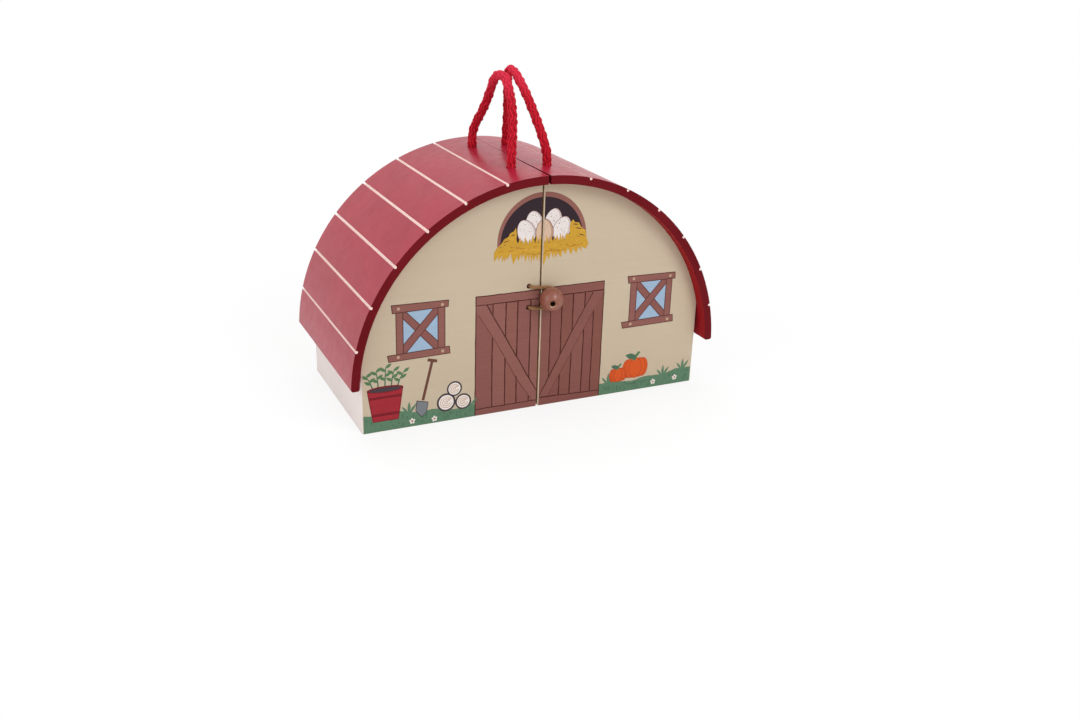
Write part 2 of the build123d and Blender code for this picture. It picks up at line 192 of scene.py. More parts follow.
def roof_paint(name, colour, deep, roughness, gloss):
    """Satin paint, sprayed: an even coat with a faint ripple over a trace of grain."""
    finish = Finish(name, roughness, Specular_IOR_Level=gloss)
    lines = finish.grain(GRAIN_DEEP)
    cloudy = finish.tone(finish.noise(finish.place(), 0.03, 3.0), 0.3, 0.7, colour, deep)
    finish.colour(finish.tone(lines, 0.3, 0.7, cloudy, deep, 0.2))
    dull = finish.noise(finish.place(), 0.12, 3.0)
    finish.rough(finish.spread(dull, 0.3, 0.7, roughness - 0.03, roughness + 0.05))
    finish.bump(finish.noise(finish.place(), 0.35, 2.0), 0.02)
    finish.bump(lines, 0.006)
    return finish.material


def routed_groove(light, dark, red):
    """A groove cut through the paint: red spray reaches a little way down its sides."""
    finish = Finish("groove_wood", 0.6, Specular_IOR_Level=0.3)
    lines = finish.grain(GRAIN_DEEP)
    wood = finish.tone(lines, 0.35, 0.65, light, dark, 0.5)
    up = finish.maths("SUBTRACT", finish.axis("Z"), ROOF_CENTRE_Z / MM)
    across, up = finish.maths("POWER", finish.axis("X"), 2.0), finish.maths("POWER", up, 2.0)
    from_centre = finish.maths("SQRT", finish.maths("ADD", across, up))
    ragged = finish.noise(finish.place((1.0, 0.3, 1.0)), 1.2, 3.0)
    edge = finish.weigh(from_centre, 1.0, ragged, -0.2)
    finish.colour(finish.tone(edge, ROOF_RADIUS / MM - 0.38, ROOF_RADIUS / MM - 0.28, wood, red))
    finish.bump(lines, 0.05)
    return finish.material


def bare_wood(name, light, dark, squeeze, roughness=0.55):
    """Sanded birch: warm streaks, flecks and open pores."""
    finish = Finish(name, roughness)
    lines = finish.grain(squeeze, 0.7)
    specks = finish.noise(finish.place([s * 3 for s in squeeze]), 0.8, 2.0)
    flecks = finish.spread(specks, 0.6, 0.72, 0.0, 0.45)
    base = finish.tone(lines, 0.38, 0.62, light, dark)
    finish.colour(finish.tone(flecks, 0.0, 1.0, base, shaded(dark, 0.6)))
    finish.bump(lines, 0.05)
    finish.bump(flecks, -0.03)
    return finish.material


def ply_edge(light, dark):
    """The cut edge of the floor board: thin veneers one over another, seen as alternate stripes."""
    finish = Finish("floor_edge", 0.6)
    veneer = 1.25
    wander = finish.noise(finish.place((0.15, 0.15, 0.15)), 1.0, 2.0)
    stripes = finish.maths("SINE", finish.weigh(finish.axis("Z"), math.pi / veneer, wander, 1.2))
    fibres = finish.noise(finish.place((2.0, 2.0, 2.0)), 1.0, 3.0)
    base = finish.tone(stripes, -0.35, 0.35, light, dark)
    finish.colour(finish.tone(fibres, 0.35, 0.65, base, dark, 0.4))
    finish.bump(fibres, 0.08)
    return finish.material


def gap_edge_painted_light(paint, wood, dark):
    """A panel's cut edge: painted light near the panel's face, paler than its paint, and painted shade
    deeper in.
    """
    finish = Finish("panel_edge_painted_light", 0.6)
    ragged = finish.noise(finish.place((0.3, 0.3, 0.1)), 1.0, 3.0)
    depth = finish.maths("SUBTRACT", finish.maths("ABSOLUTE", finish.axis("Y")), -FRONT_Y / MM)
    fibres = finish.noise(finish.place((2.0, 2.0, 0.3)), 1.0, 3.0)
    # painted shade: the wood deeper in the gap is dark; the paler paint near the face is a painted highlight
    bare = finish.tone(fibres, 0.35, 0.65, wood, dark)
    finish.colour(finish.tone(finish.weigh(depth, -1.0, ragged, 0.8), 1.6, 2.2, paint, bare))
    finish.bump(fibres, 0.06)
    return finish.material


def ink(name, colour, shade, roughness):
    """Printed colour on wood: nearly even, a little mottled where the grain took it up."""
    finish = Finish("ink_" + name, roughness, Specular_IOR_Level=0.12)
    lines = finish.grain(GRAIN_ACROSS)
    share = finish.weigh(lines, 0.4, finish.noise(finish.place(), 0.8, 4.0, 0.7), 0.6)
    finish.colour(finish.tone(share, 0.35, 0.65, shaded(colour, 1 + shade), shaded(colour, 1 - 1.6 * shade)))
    finish.bump(lines, 0.015)
    return finish.material


TOP_LIGHT_MIDDLE, TOP_LIGHT_EVEN, TOP_LIGHT_REACH = 90.0, 12.0, 30.0     # the loop's top, painted paler as painted light from above, in millimetres along the rope


def rope_fibre(name, light, dark, yarns, twist, sheen, fuzz_colour, painted_top_light=None):
    """Yarns that run slantwise along each strand. The strand's own coordinates are (length, turn).

    Where painted_top_light is given, it is a paler colour and its share, painted on the top of each loop as
    light from above."""
    finish = Finish(name, 0.85, Sheen_Weight=sheen, Sheen_Roughness=0.4, Sheen_Tint=fuzz_colour,
                    Specular_IOR_Level=0.1)
    strand = finish.add("SeparateXYZ", {"Vector": finish.add("TexCoord").outputs["UV"]}).outputs
    slant = finish.weigh(strand["Y"], yarns * 2 * math.pi, strand["X"], twist)
    yarn = finish.spread(finish.maths("SINE", slant), -1.0, 1.0)
    fuzz = finish.noise(finish.place(), 3.0, 5.0, 0.75)
    colour = finish.tone(finish.weigh(yarn, 0.3, fuzz, 0.7), 0.3, 0.72, dark, light)
    if painted_top_light:
        # painted light: paler towards the top of each loop
        off = finish.maths("ABSOLUTE", finish.maths("SUBTRACT", strand["X"], TOP_LIGHT_MIDDLE))
        colour = finish.tone(off, TOP_LIGHT_REACH, TOP_LIGHT_EVEN, colour, *painted_top_light)
    finish.colour(colour)
    finish.bump(yarn, 0.08)
    finish.bump(fuzz, 0.10)
    return finish.material


def turned_wood(light, dark):
    """A stained wooden bead: lathe rings round its hole, over growth rings, under a thin lacquer."""
    finish = Finish("bead_brown", 0.38, Specular_IOR_Level=0.3, Coat_Weight=0.45, Coat_Roughness=0.15)
    centred = finish.add("VectorMath", {0: finish.place(), 1: BEAD_CENTRE / MM}, operation="SUBTRACT")
    along = finish.add("VectorMath", {0: centred.outputs["Vector"], 1: BEAD_AXIS}, operation="DOT_PRODUCT")
    turned = finish.weigh(along.outputs["Value"], 5.2, finish.noise(finish.place(), 0.5, 2.0), 3.0)
    rings = finish.spread(finish.maths("SINE", turned), -1.0, 1.0)
    fibre = finish.noise(finish.place((0.6, 2.0, 2.0), (0.5, 0.35, 0.2)), 1.0, 5.0, 0.75)
    finish.colour(finish.tone(finish.weigh(rings, 0.22, fibre, 0.78), 0.3, 0.72, light, dark))
    finish.bump(fibre, 0.07)
    finish.bump(rings, 0.05)
    return finish.material


def steel(name, colour, roughness):
    """Zinc-plated steel with faint brushing."""
    finish = Finish(name, roughness, Metallic=1.0)
    brushed = finish.noise(finish.place((3.0, 3.0, 0.25)), 1.4, 4.0, 0.7)
    finish.colour(finish.tone(brushed, 0.3, 0.7, colour, shaded(colour, 0.75)))
    finish.rough(finish.spread(brushed, 0.3, 0.7, roughness - 0.08, roughness + 0.12))
    finish.bump(brushed, 0.01)
    return finish.material


def overhang_finish(red, birch):
    """The roof's underside: painted where it overhangs the walls, bare inside the room."""
    finish = Finish("roof_underside", 0.55, Specular_IOR_Level=0.12)
    beyond = [finish.maths("GREATER_THAN", finish.maths("ABSOLUTE", finish.axis(axis)), limit)
              for axis, limit in (("Y", -FRONT_Y / MM - 2.5), ("X", HALF_WIDTH / MM - 1))]
    lines = finish.grain(GRAIN_DEEP, 0.7)
    wood = finish.tone(lines, 0.38, 0.62, *birch)
    finish.colour(finish.tone(finish.maths("MAXIMUM", *beyond), 0.0, 1.0, wood, red))
    finish.bump(lines, 0.04)
    return finish.material


BIRCH = (rgb(234, 212, 180), rgb(212, 180, 142))
CREAM = (rgb(193, 176, 152), rgb(185, 167, 141))
# the second red is the roof's red darkened as painted shade, for its end faces and its seam faces
RED, SHADED_EDGE_RED = rgb(165, 25, 51), rgb(107, 17, 26)

roof_red = roof_paint("roof_red", RED, rgb(154, 21, 45), 0.31, 0.31)
# painted shade: the end faces and the seam faces in the gap take the darker red
roof_end_painted_shade = roof_paint("roof_end_painted_shade", SHADED_EDGE_RED, rgb(96, 10, 18), 0.45, 0.07)
roof_seam_painted_shade = roof_paint("roof_seam_painted_shade", SHADED_EDGE_RED, rgb(84, 10, 18), 0.5, 0.1)
roof_underside = overhang_finish(rgb(150, 16, 26), BIRCH)
groove_wood = routed_groove(rgb(251, 234, 230), rgb(239, 213, 206), RED)
front_cream = painted_wood("front_cream", *CREAM, GRAIN_ACROSS, 0.006, 0.35)
back_cream = painted_wood("back_cream", *CREAM, GRAIN_ACROSS, 0.006, 0.35)
wall_white = painted_wood("wall_white", rgb(228, 218, 214), rgb(218, 205, 201), GRAIN_UP, 0.008, 0.4)
birch_up = bare_wood("birch_up", *BIRCH, GRAIN_UP)
birch_across = bare_wood("birch_across", *BIRCH, GRAIN_ACROSS)
birch_deep = bare_wood("birch_deep", *BIRCH, GRAIN_DEEP)
# the panels' seam edges: a painted highlight near the face and painted shade deeper in the gap
panel_edge_painted_light = gap_edge_painted_light(rgb(250, 236, 212), rgb(184, 146, 112), rgb(150, 112, 82))
floor_edge = ply_edge(rgb(224, 196, 160), rgb(178, 138, 98))
bead_brown = turned_wood(rgb(154, 92, 74), rgb(114, 63, 50))
bead_rim = bare_wood("bead_rim", rgb(196, 146, 112), rgb(140, 84, 64), GRAIN_UP, 0.45)
# painted shade: the walls of the elastic holes and the bead's hole are near black for the shade deep in them
bore_painted_shade = bare_wood("bore_painted_shade", rgb(70, 40, 28), rgb(36, 20, 14), GRAIN_UP, 0.8)
# the last pair is painted light: a paler pink on the tops of the loops, where light from above falls
rope_red = rope_fibre("rope_red", rgb(222, 34, 56), rgb(122, 4, 14), 5, -1.6, 0.5, rgb(255, 96, 120),
                      (rgb(232, 60, 88), 0.42))
elastic_tan = rope_fibre("elastic_tan", rgb(186, 140, 98), rgb(108, 72, 46), 4, -4.0, 0.05,
                         rgb(240, 220, 190))
hinge_steel = steel("hinge_steel", rgb(200, 200, 198), 0.32)
screw_steel = steel("screw_steel", rgb(205, 204, 200), 0.26)


# --- the CAD boards ---
def dress(node, finish, rules=(), ease=0.0):
    """Gives a CAD node its finishes, face by face, and eases its sharp edges by that many millimetres."""
    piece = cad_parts[node]
    mesh = piece.data
    mesh.materials.clear()
    for material in [finish] + [material for material, _ in rules]:
        mesh.materials.append(material)
    for polygon in mesh.polygons:
        places = [i for i, (_, test) in enumerate(rules, 1) if test(polygon.center, polygon.normal)]
        polygon.material_index = places[0] if places else 0
        polygon.use_smooth = True
    if ease:
        if "custom_normal" in mesh.attributes:
            mesh.attributes.remove(mesh.attributes["custom_normal"])
        piece.modifiers.new("weld", "WELD").merge_threshold = 1e-6
        flat = piece.modifiers.new("whole_faces", "DECIMATE")
        flat.decimate_type = "DISSOLVE"
        flat.angle_limit = math.radians(0.3)
        flat.delimit = {"MATERIAL"}
        bevel = piece.modifiers.new("eased_edges", "BEVEL")
        bevel.width = ease * MM
        bevel.segments = 2
        bevel.angle_limit = math.radians(32)
        bevel.use_clamp_overlap = False
        bevel.loop_slide = False
        piece.modifiers.new("even_shading", "WEIGHTED_NORMAL").keep_sharp = False


def roof_depth(place):
    """How far a place lies under the roof's outer surface."""
    return ROOF_RADIUS - math.hypot(place.x, place.z - ROOF_CENTRE_Z)


GROOVE_DEPTHS = 0.06 * MM, 2.1 * MM      # between which the middles of a groove's faces lie
RIDGE_REACH = 10 * MM                    # from the seam to where the grooves may begin


def is_groove(place, normal):
    low, high = GROOVE_DEPTHS
    return abs(normal.y) < 0.5 and low < roof_depth(place) < high and abs(place.x) > RIDGE_REACH


def is_underside(place, normal):
    return abs(normal.y) < 0.5 and abs(roof_depth(place) - ROOF_BOARD) < 0.4 * MM


def is_end_grain(place, normal):
    return abs(normal.y) > 0.9


def is_seam(place, normal):
    return abs(normal.x) > 0.9 and abs(place.x) < 2 * MM


def is_outer_side(place, normal):
    return normal.x * place.x > 0.4 * abs(place.x) and abs(place.x) > HALF_WIDTH - MM


def is_elastic_hole(place, normal):
    return abs(normal.y) < 0.5 and any(
        math.hypot(place.x / MM - x, place.z / MM - z) < ELASTIC_HOLE_RADIUS + 0.2 for x, z in ELASTIC_HOLES)


def from_bead_axis(place):
    """How far a place lies from the axis of the bead's hole, and how far along it from the middle."""
    off = place - BEAD_CENTRE
    along = off.dot(BEAD_AXIS)
    return (off - BEAD_AXIS * along).length, abs(along)


def is_bore(place, normal):
    return from_bead_axis(place)[0] < BEAD_BORE


def is_bead_rim(place, normal):
    """The countersink at the mouth of the bead's hole, where the stain is worn."""
    away, along = from_bead_axis(place)
    return away < BEAD_RIM and along < BEAD_RIM_HEIGHT


def dress_boards():
    for name, side in SIDES.items():
        dress(f"{name}_roof", roof_red, [
            (roof_seam_painted_shade, is_seam), (roof_end_painted_shade, is_end_grain), (groove_wood, is_groove),
            (roof_underside, is_underside)], ease=0.12)
        dress(f"{name}_front_panel", front_cream, [
            (panel_edge_painted_light, is_seam), (birch_across, lambda place, normal: normal.y > 0.9),
            (bore_painted_shade, is_elastic_hole), (wall_white, is_outer_side)], ease=0.25)
        dress(f"{name}_back_panel", back_cream, [
            (panel_edge_painted_light, is_seam), (birch_across, lambda place, normal: normal.y < -0.9),
            (wall_white, is_outer_side)], ease=0.25)
        dress(f"{name}_side_wall", wall_white, [
            (birch_up, lambda place, normal: normal.x * side < -0.9)], ease=0.2)
        dress(f"{name}_floor", birch_deep, [(floor_edge, is_seam)], ease=0.25)
        dress(f"{name}_back_batten", back_cream, [(panel_edge_painted_light, is_seam)], ease=0.4)
    for level in ("upper", "lower"):
        for name in SIDES:
            dress(f"{level}_hinge_{name}_leaf", hinge_steel, ease=0.12)
        dress(f"{level}_hinge_pin", hinge_steel, ease=0.15)
    dress("closing_bead", bead_brown, [(bore_painted_shade, is_bore), (bead_rim, is_bead_rim)])


# --- meshes ---
def make_piece(name, points, faces, materials, face_materials=None, smooth=True, turns=None):
    """A mesh object. Turns, where given, are each point's own texture coordinates."""
    mesh = bpy.data.meshes.new(name)
    mesh.from_pydata([tuple(p) for p in points], [], faces)
    for material in materials:
        mesh.materials.append(material)
    if face_materials:
        mesh.polygons.foreach_set("material_index", face_materials)
    mesh.polygons.foreach_set("use_smooth", [smooth] * len(mesh.polygons))
    if turns:
        layer = mesh.uv_layers.new(name="strand")
        for loop in mesh.loops:
            layer.data[loop.index].uv = turns[loop.vertex_index]
    mesh.update()
    piece = bpy.data.objects.new(name, mesh)
    bpy.context.scene.collection.objects.link(piece)
    return piece


def turn_points(count):
    """The cosine and sine of that many even steps of a full turn."""
    return [(math.cos(2 * math.pi * j / count), math.sin(2 * math.pi * j / count)) for j in range(count)]


class Solid:
    """Points and faces being gathered for one piece."""

    def __init__(self):
        self.points, self.faces, self.turns = [], [], []

    def ring_tube(self, rings, turns=None, closed=False, capped=True):
        """Joins rings of points into a tube, closed on itself or capped at both ends or open."""
        start, sides = len(self.points), len(rings[0])
        for k, ring in enumerate(rings):
            self.points += ring
            self.turns += turns[k] if turns else [(0, 0)] * sides
        for k in range(len(rings) if closed else len(rings) - 1):
            here, there = start + k * sides, start + (k + 1) % len(rings) * sides
            for j in range(sides):
                after = (j + 1) % sides
                self.faces.append((here + j, here + after, there + after, there + j))
        if capped and not closed:
            last = start + (len(rings) - 1) * sides
            self.faces.append(tuple(reversed(range(start, start + sides))))
            self.faces.append(tuple(range(last, last + sides)))

    def piece(self, name, material, smooth=True):
        return make_piece(name, self.points, self.faces, [material], None, smooth, self.turns)


def fill(outlines, tolerance):
    """The surface inside flat outlines: its points, and each triangle with the outlines that it is in."""
    flat, edges, loops = [], [], []
    for outline in outlines:
        loop = list(range(len(flat), len(flat) + len(outline)))
        flat += [Vector(p) for p in outline]
        edges += list(zip(loop, loop[1:] + loop[:1]))
        loops.append(loop)
    points, _, triangles, _, _, within = delaunay_2d_cdt(flat, edges, loops, 1, tolerance)
    return points, list(zip(triangles, within))


# --- cords ---
def smooth_line(points, step):
    """Evenly spaced points of a smooth curve that has these control points."""
    curve = bpy.data.curves.new("route", "CURVE")
    curve.dimensions = "3D"
    curve.resolution_u = 24
    spline = curve.splines.new("NURBS")
    spline.points.add(len(points) - 1)
    for place, point in zip(points, spline.points):
        point.co = (*place, 1.0)
    spline.order_u = 3
    spline.use_endpoint_u = True
    route = bpy.data.objects.new("route", curve)
    bpy.context.scene.collection.objects.link(route)
    bpy.context.view_layer.update()
    mesh = bpy.data.meshes.new_from_object(route)
    line = [v.co.copy() for v in mesh.vertices]
    bpy.data.objects.remove(route)
    bpy.data.meshes.remove(mesh)
    return even_line(line, step)


def even_line(line, step):
    """The same line with its points a step apart."""
    reach = [0.0]
    for here, there in zip(line, line[1:]):
        reach.append(reach[-1] + (there - here).length)
    count = max(2, round(reach[-1] / step))
    even, k = [], 0
    for i in range(count + 1):
        wanted = reach[-1] * i / count
        while k < len(reach) - 2 and reach[k + 1] < wanted:
            k += 1
        share = (wanted - reach[k]) / max(reach[k + 1] - reach[k], 1e-12)
        even.append(line[k].lerp(line[k + 1], min(1.0, share)))
    return even


def line_ways(line, closed=False):
    """The direction of the line at each of its points, not brought to length one."""
    if closed:
        return [there - here for here, there in zip(line[-1:] + line[:-1], line[1:] + line[:1])]
    return [there - here for here, there in zip(line[:1] + line[:-1], line[1:] + line[-1:])]


def cross_directions(line, closed=False):
    """Two directions across the line at each point, carried along it without twisting."""
    pairs, side = [], None
    for way in line_ways(line, closed):
        way = way.normalized()
        if side is None:
            side = way.orthogonal().normalized()
        side = (side - way * side.dot(way)).normalized()
        pairs.append((side, way.cross(side)))
    return pairs


STRANDS = 4                                 # wound each way
STRAND_THICK, STRAND_WAVE = 0.27, 0.17      # half its thickness and its rise, of the cord's radius
STRAND_WIDE, STRAND_BOW = 1.22, 0.3         # its width, of an even share of the cord's, and its bow round it


def braid(solid, line, radius, pitch, sides=12, closed=False, over=1):
    """Strands wound both ways round a line, each passing over one or two and then under as many."""
    pairs = cross_directions(line, closed)
    step = (line[1] - line[0]).length
    length = step * len(line)
    pitch = length / max(1, round(length / pitch))
    thick, wave = STRAND_THICK * radius, STRAND_WAVE * radius
    middle = radius - thick - wave
    slope = math.atan2(2 * math.pi * middle, pitch)
    wide = STRAND_WIDE * math.pi * middle * math.cos(slope) / STRANDS
    round_points = turn_points(sides)
    section = [(wide * c, thick * s - STRAND_BOW * (wide * c) ** 2 / middle) for c, s in round_points]
    for way in (-1, 1):
        for k in range(STRANDS):
            centres, outs = [], []
            for i, (place, (u, v)) in enumerate(zip(line, pairs)):
                phase = 2 * math.pi * i * step / pitch
                angle = way * phase + 2 * math.pi * k / STRANDS
                out = u * math.cos(angle) + v * math.sin(angle)
                rise = way * wave * math.cos(STRANDS * phase / over + (over - 1) * math.pi / 4)
                centres.append(place + out * (middle + rise))
                outs.append(out)
            rings, turns = [], []
            for i, (centre, out, run) in enumerate(zip(centres, outs, line_ways(centres, closed))):
                across = run.cross(out).normalized()
                rings.append([centre + across * a + out * b for a, b in section])
                turns.append([(i * step / MM, way * j / sides) for j in range(sides)])
            solid.ring_tube(rings, turns, closed)
    core = [[place + (u * c + v * s) * middle for c, s in round_points]
            for place, (u, v) in zip(line, pairs)]
    solid.ring_tube(core, None, closed)


THIRDS = (0.0, 2.09, 4.19)       # of a turn, in radians


def stray_fibres(solid, line, radius, count, chance):
    """Short loose fibres that stand off a rope along its way."""
    pairs = cross_directions(line)
    for _ in range(count):
        i = chance.randrange(8, len(line) - 12)
        u, v = pairs[i]
        turn = chance.uniform(0, 2 * math.pi)
        out = u * math.cos(turn) + v * math.sin(turn)
        way = (line[i + 4] - line[i]).normalized() * chance.choice((-1, 1))
        long, lift = chance.uniform(0.6, 1.9) * MM, chance.uniform(0.15, 0.6) * MM
        root = line[i] + out * radius * 0.9
        rings = []
        for share in (0, 1 / 3, 2 / 3, 1):
            centre = root + way * long * share + out * lift * (1.6 * share - 0.6 * share * share)
            thin = 0.05 * MM * (1 - 0.6 * share)
            rings.append([centre + (out * math.cos(angle) + way.cross(out) * math.sin(angle)) * thin
                          for angle in THIRDS])
        solid.ring_tube(rings)


def trefoil(centre, size, height, turn, step, tip=0.0):
    """The line of a tight overhand knot round an upright axis."""
    line, count = [], 240
    placed = Matrix.Rotation(tip, 3, "X") @ Matrix.Rotation(turn, 3, "Z")
    for i in range(count + 1):
        t = 2 * math.pi * (i % count) / count
        x = size * (math.sin(t) + 2 * math.sin(2 * t))
        y = size * (math.cos(t) - 2 * math.cos(2 * t))
        line.append(placed @ Vector((x, y, -height * math.sin(3 * t))))
    return [centre + p for p in even_line(line, step)[:-1]]


# The loops' routes from the rear hole to the front hole, as (y, height above the swing axis), mm.
ROPE_SWING_Z = ROOF_CENTRE_Z + math.sqrt((ROOF_RADIUS + ROPE_RADIUS + 0.3 * MM) ** 2 - ROPE_HOLE_X ** 2)
ROPE_TOP_X = 0.00395
ROPE_KNOT_HEIGHT = -17.2      # the knot's centre, below the swing axis
ROPE_PITCH = 24 * MM          # one turn of a strand
ROPE_FIBRES = 160             # loose ones on each loop
LOOPS = {
    -1: [(38.5, 0.0), (40.8, 6.5), (38.0, 14.5), (31.5, 22.5), (25.5, 32.0), (21.8, 41.6), (19.0, 50.9),
         (14.5, 54.6), (5.0, 55.2), (-2.5, 54.4), (-12.5, 46.2), (-20.5, 38.5), (-27.0, 29.3), (-32.0, 18.0),
         (-36.0, 6.5), (-38.5, 0.0)],
    1: [(38.5, 0.0), (34.5, 8.5), (29.0, 18.5), (23.5, 32.0), (18.5, 45.1), (15.5, 54.9), (8.5, 59.7),
        (-0.5, 57.6), (-9.5, 50.3), (-17.5, 42.4), (-25.0, 32.3), (-31.5, 23.0), (-37.0, 13.5), (-39.3, 5.0),
        (-38.5, 0.0)],
}


def rope_route(side):
    """The loop's points in metres, leaning to the ridge, with each end taken down to its knot."""
    loop = LOOPS[side]
    lean = (ROPE_HOLE_X - ROPE_TOP_X) / (max(height for _, height in loop) * MM)
    points = [Vector((side * (ROPE_HOLE_X - lean * height * MM), y * MM, ROPE_SWING_Z + height * MM))
              for y, height in loop]
    drop = Vector((0, 0, ROPE_KNOT_HEIGHT * MM))
    return [points[0] + drop] + points + [points[-1] + drop]


def rope_handles():
    for name, side in SIDES.items():
        route = rope_route(side)
        line = smooth_line(route, 0.55 * MM)
        solid = Solid()
        braid(solid, line, ROPE_RADIUS * 1.03, ROPE_PITCH, over=2)
        stray_fibres(solid, line, ROPE_RADIUS, ROPE_FIBRES, random.Random(21 + side))
        rope = solid.piece(f"{name}_braided_rope", rope_red)
        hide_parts(f"{name}_rope_handle")
        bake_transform(rope)
        rope_knots(name, side, [route[0], route[-1]])


ROPE_TAIL = ((0, 0, 0), (6, 0, 0), (10, 1, 0), (14.5, 2, 1))      # along its lean, outward and back, mm


def rope_knots(name, side, centres):
    """Overhand stopper knots inside the roof, each with a short tail."""
    solid = Solid()
    for k, centre in enumerate(centres):
        seat = centre + Vector((0, 0, 1.2 * MM))
        knot = trefoil(seat, 2.0 * MM, 2.2 * MM, 0.6 + 1.3 * k, 0.5 * MM)
        braid(solid, knot, 2.6 * MM, 16 * MM, sides=8, closed=True, over=2)
        lean = Vector((side * 0.34, 0.12 * (1 - 2 * k), -0.93)).normalized()
        tail = [seat + (lean * along + Vector((side * out, back, 0))) * MM for along, out, back in ROPE_TAIL]
        braid(solid, smooth_line(tail, 0.5 * MM), ROPE_RADIUS * 0.97, ROPE_PITCH, sides=8, over=2)
    knots = solid.piece(f"{name}_stopper_knots", rope_red)
    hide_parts(f"{name}_rope_ends")
    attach(knots, f"{name}_half")


# The elastic's route round the bead, from the upper hole to the lower hole, as (x, z), mm.
ELASTIC_RADIUS = 0.0012
ELASTIC_Y = FRONT_Y - ELASTIC_RADIUS - 0.3 * MM
ELASTIC_STEP = 0.25 * MM      # between the points of its line
ELASTIC_LOOP = [
    (-9.2, 99.1), (-3.8, 98.0), (2.0, 97.6), (8.0, 97.1), (12.6, 93.8), (13.6, 88.6),
    (11.4, 84.0), (6.4, 81.3), (0.6, 81.2), (-4.6, 82.0), (-9.2, 82.4),
]


def closing_elastic():
    points = [Vector((x * MM, ELASTIC_Y, z * MM)) for x, z in ELASTIC_LOOP]
    inward = Vector((0, PANEL_INSIDE_Y + 2.5 * MM - ELASTIC_Y, 0))
    line = smooth_line([points[0] + inward] + points + [points[-1] + inward], ELASTIC_STEP)
    solid = Solid()
    braid(solid, line, ELASTIC_RADIUS * 1.15, 6.4 * MM, sides=8)
    elastic = solid.piece("covered_elastic", elastic_tan)
    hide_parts("closing_elastic")
    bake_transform(elastic)
    elastic_knots([points[0], points[-1]])


ELASTIC_TAIL = ((0, 0, 0), (-2, 1.5, -2), (-3.2, 2.6, -4), (-4.2, 2.8, -6))      # from the knot's middle, mm


def elastic_knots(exits):
    """The elastic's two knots inside the left panel, each with a short tail."""
    solid = Solid()
    for k, point in enumerate(exits):
        centre = Vector((point.x, PANEL_INSIDE_Y + 2.6 * MM, point.z))
        knot = trefoil(centre, 0.8 * MM, 0.9 * MM, 1.0 + k, 0.22 * MM, math.pi / 2)
        braid(solid, knot, 1.15 * MM, 5 * MM, sides=6, closed=True)
        tail = [centre + Vector(off) * MM for off in ELASTIC_TAIL]
        braid(solid, smooth_line(tail, ELASTIC_STEP), ELASTIC_RADIUS, 5.2 * MM, sides=6)
    knots = solid.piece("elastic_knots", elastic_tan)
    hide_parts("elastic_ends")
    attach(knots, "left_half")


# --- screws ---
def screw_frame(origin, outward, across):
    """Turns a screw that was made pointing out along Z into its place."""
    z, x = Vector(outward).normalized(), Vector(across)
    x = (x - z * x.dot(z)).normalized()
    return Matrix.Translation(origin) @ Matrix((x, z.cross(x), z)).transposed().to_4x4()


CROSS_ARM, CROSS_HALF, HEAD_FLAT = 0.62, 0.16, 0.94       # of the head's radius
CROSS_FOOT = 0.7              # how wide the recess's foot is, of its mouth


def cross_outline(radius):
    """The twelve corners of a cross recess."""
    arm, half = CROSS_ARM * radius, CROSS_HALF * radius
    corner = [(arm, -half), (arm, half), (half, half)]
    return [(c * x - s * y, s * x + c * y) for c, s in ((1, 0), (0, 1), (-1, 0), (0, -1)) for x, y in corner]


def add_screw(solid, place, profile, head_radius, recess, sides=40):
    """A turned screw. The profile is (radius, height) from the head's flat top rim to the tip."""
    def at(points, height, share=1.0):
        return [place @ Vector((x * share, y * share, height)) for x, y in points]

    start, top, cross = len(solid.points), profile[0][1], cross_outline(head_radius)
    rim = [(head_radius * HEAD_FLAT * c, head_radius * HEAD_FLAT * s) for c, s in turn_points(sides)]
    points, triangles = fill([rim, cross], 1e-9)
    solid.points += at(points, top)
    solid.turns += [(0, 0)] * len(points)
    solid.faces += [tuple(start + i for i in triangle) for triangle, within in triangles if 1 not in within]
    deep = len(solid.points)
    solid.ring_tube([at(cross, top - recess, CROSS_FOOT), at(cross, top)], capped=False)
    solid.faces.append(tuple(range(deep, deep + len(cross))))
    rings = [at(turn_points(sides), height, radius) for radius, height in profile[::-1]]
    solid.ring_tube(rings + [at(rim, top)], capped=False)


def add_thread(solid, place, radius, low, high, point, pitch=0.9 * MM, sides=28):
    """A helical thread from low up to high, the last stretch drawn in to a point."""
    depth, steps = 0.16 * radius * 2, 9
    count = round((high - low) / pitch * steps)
    rings = []
    for i in range(count + 1):
        height = low + (high - low) * i / count
        ring = []
        for j, (c, s) in enumerate(turn_points(sides)):
            phase = (height / pitch - j / sides) % 1.0
            crest = 1 - abs(2 * phase - 1)
            r = (radius - depth + depth * crest) * max(0.04, min(1.0, (high - height) / point))
            ring.append(place @ Vector((r * c, r * s, height)))
        rings.append(ring)
    solid.ring_tube(rings)


HINGE_SCREW_GAP = 18 * MM       # between the two screws of one leaf
HINGE_SCREW_SHANK = ((1.2, -1.0), (1.15, -6.0), (0.1, -8.0))      # radius and height below the head, mm
HINGE_CROSS_DEPTH = 0.75 * MM


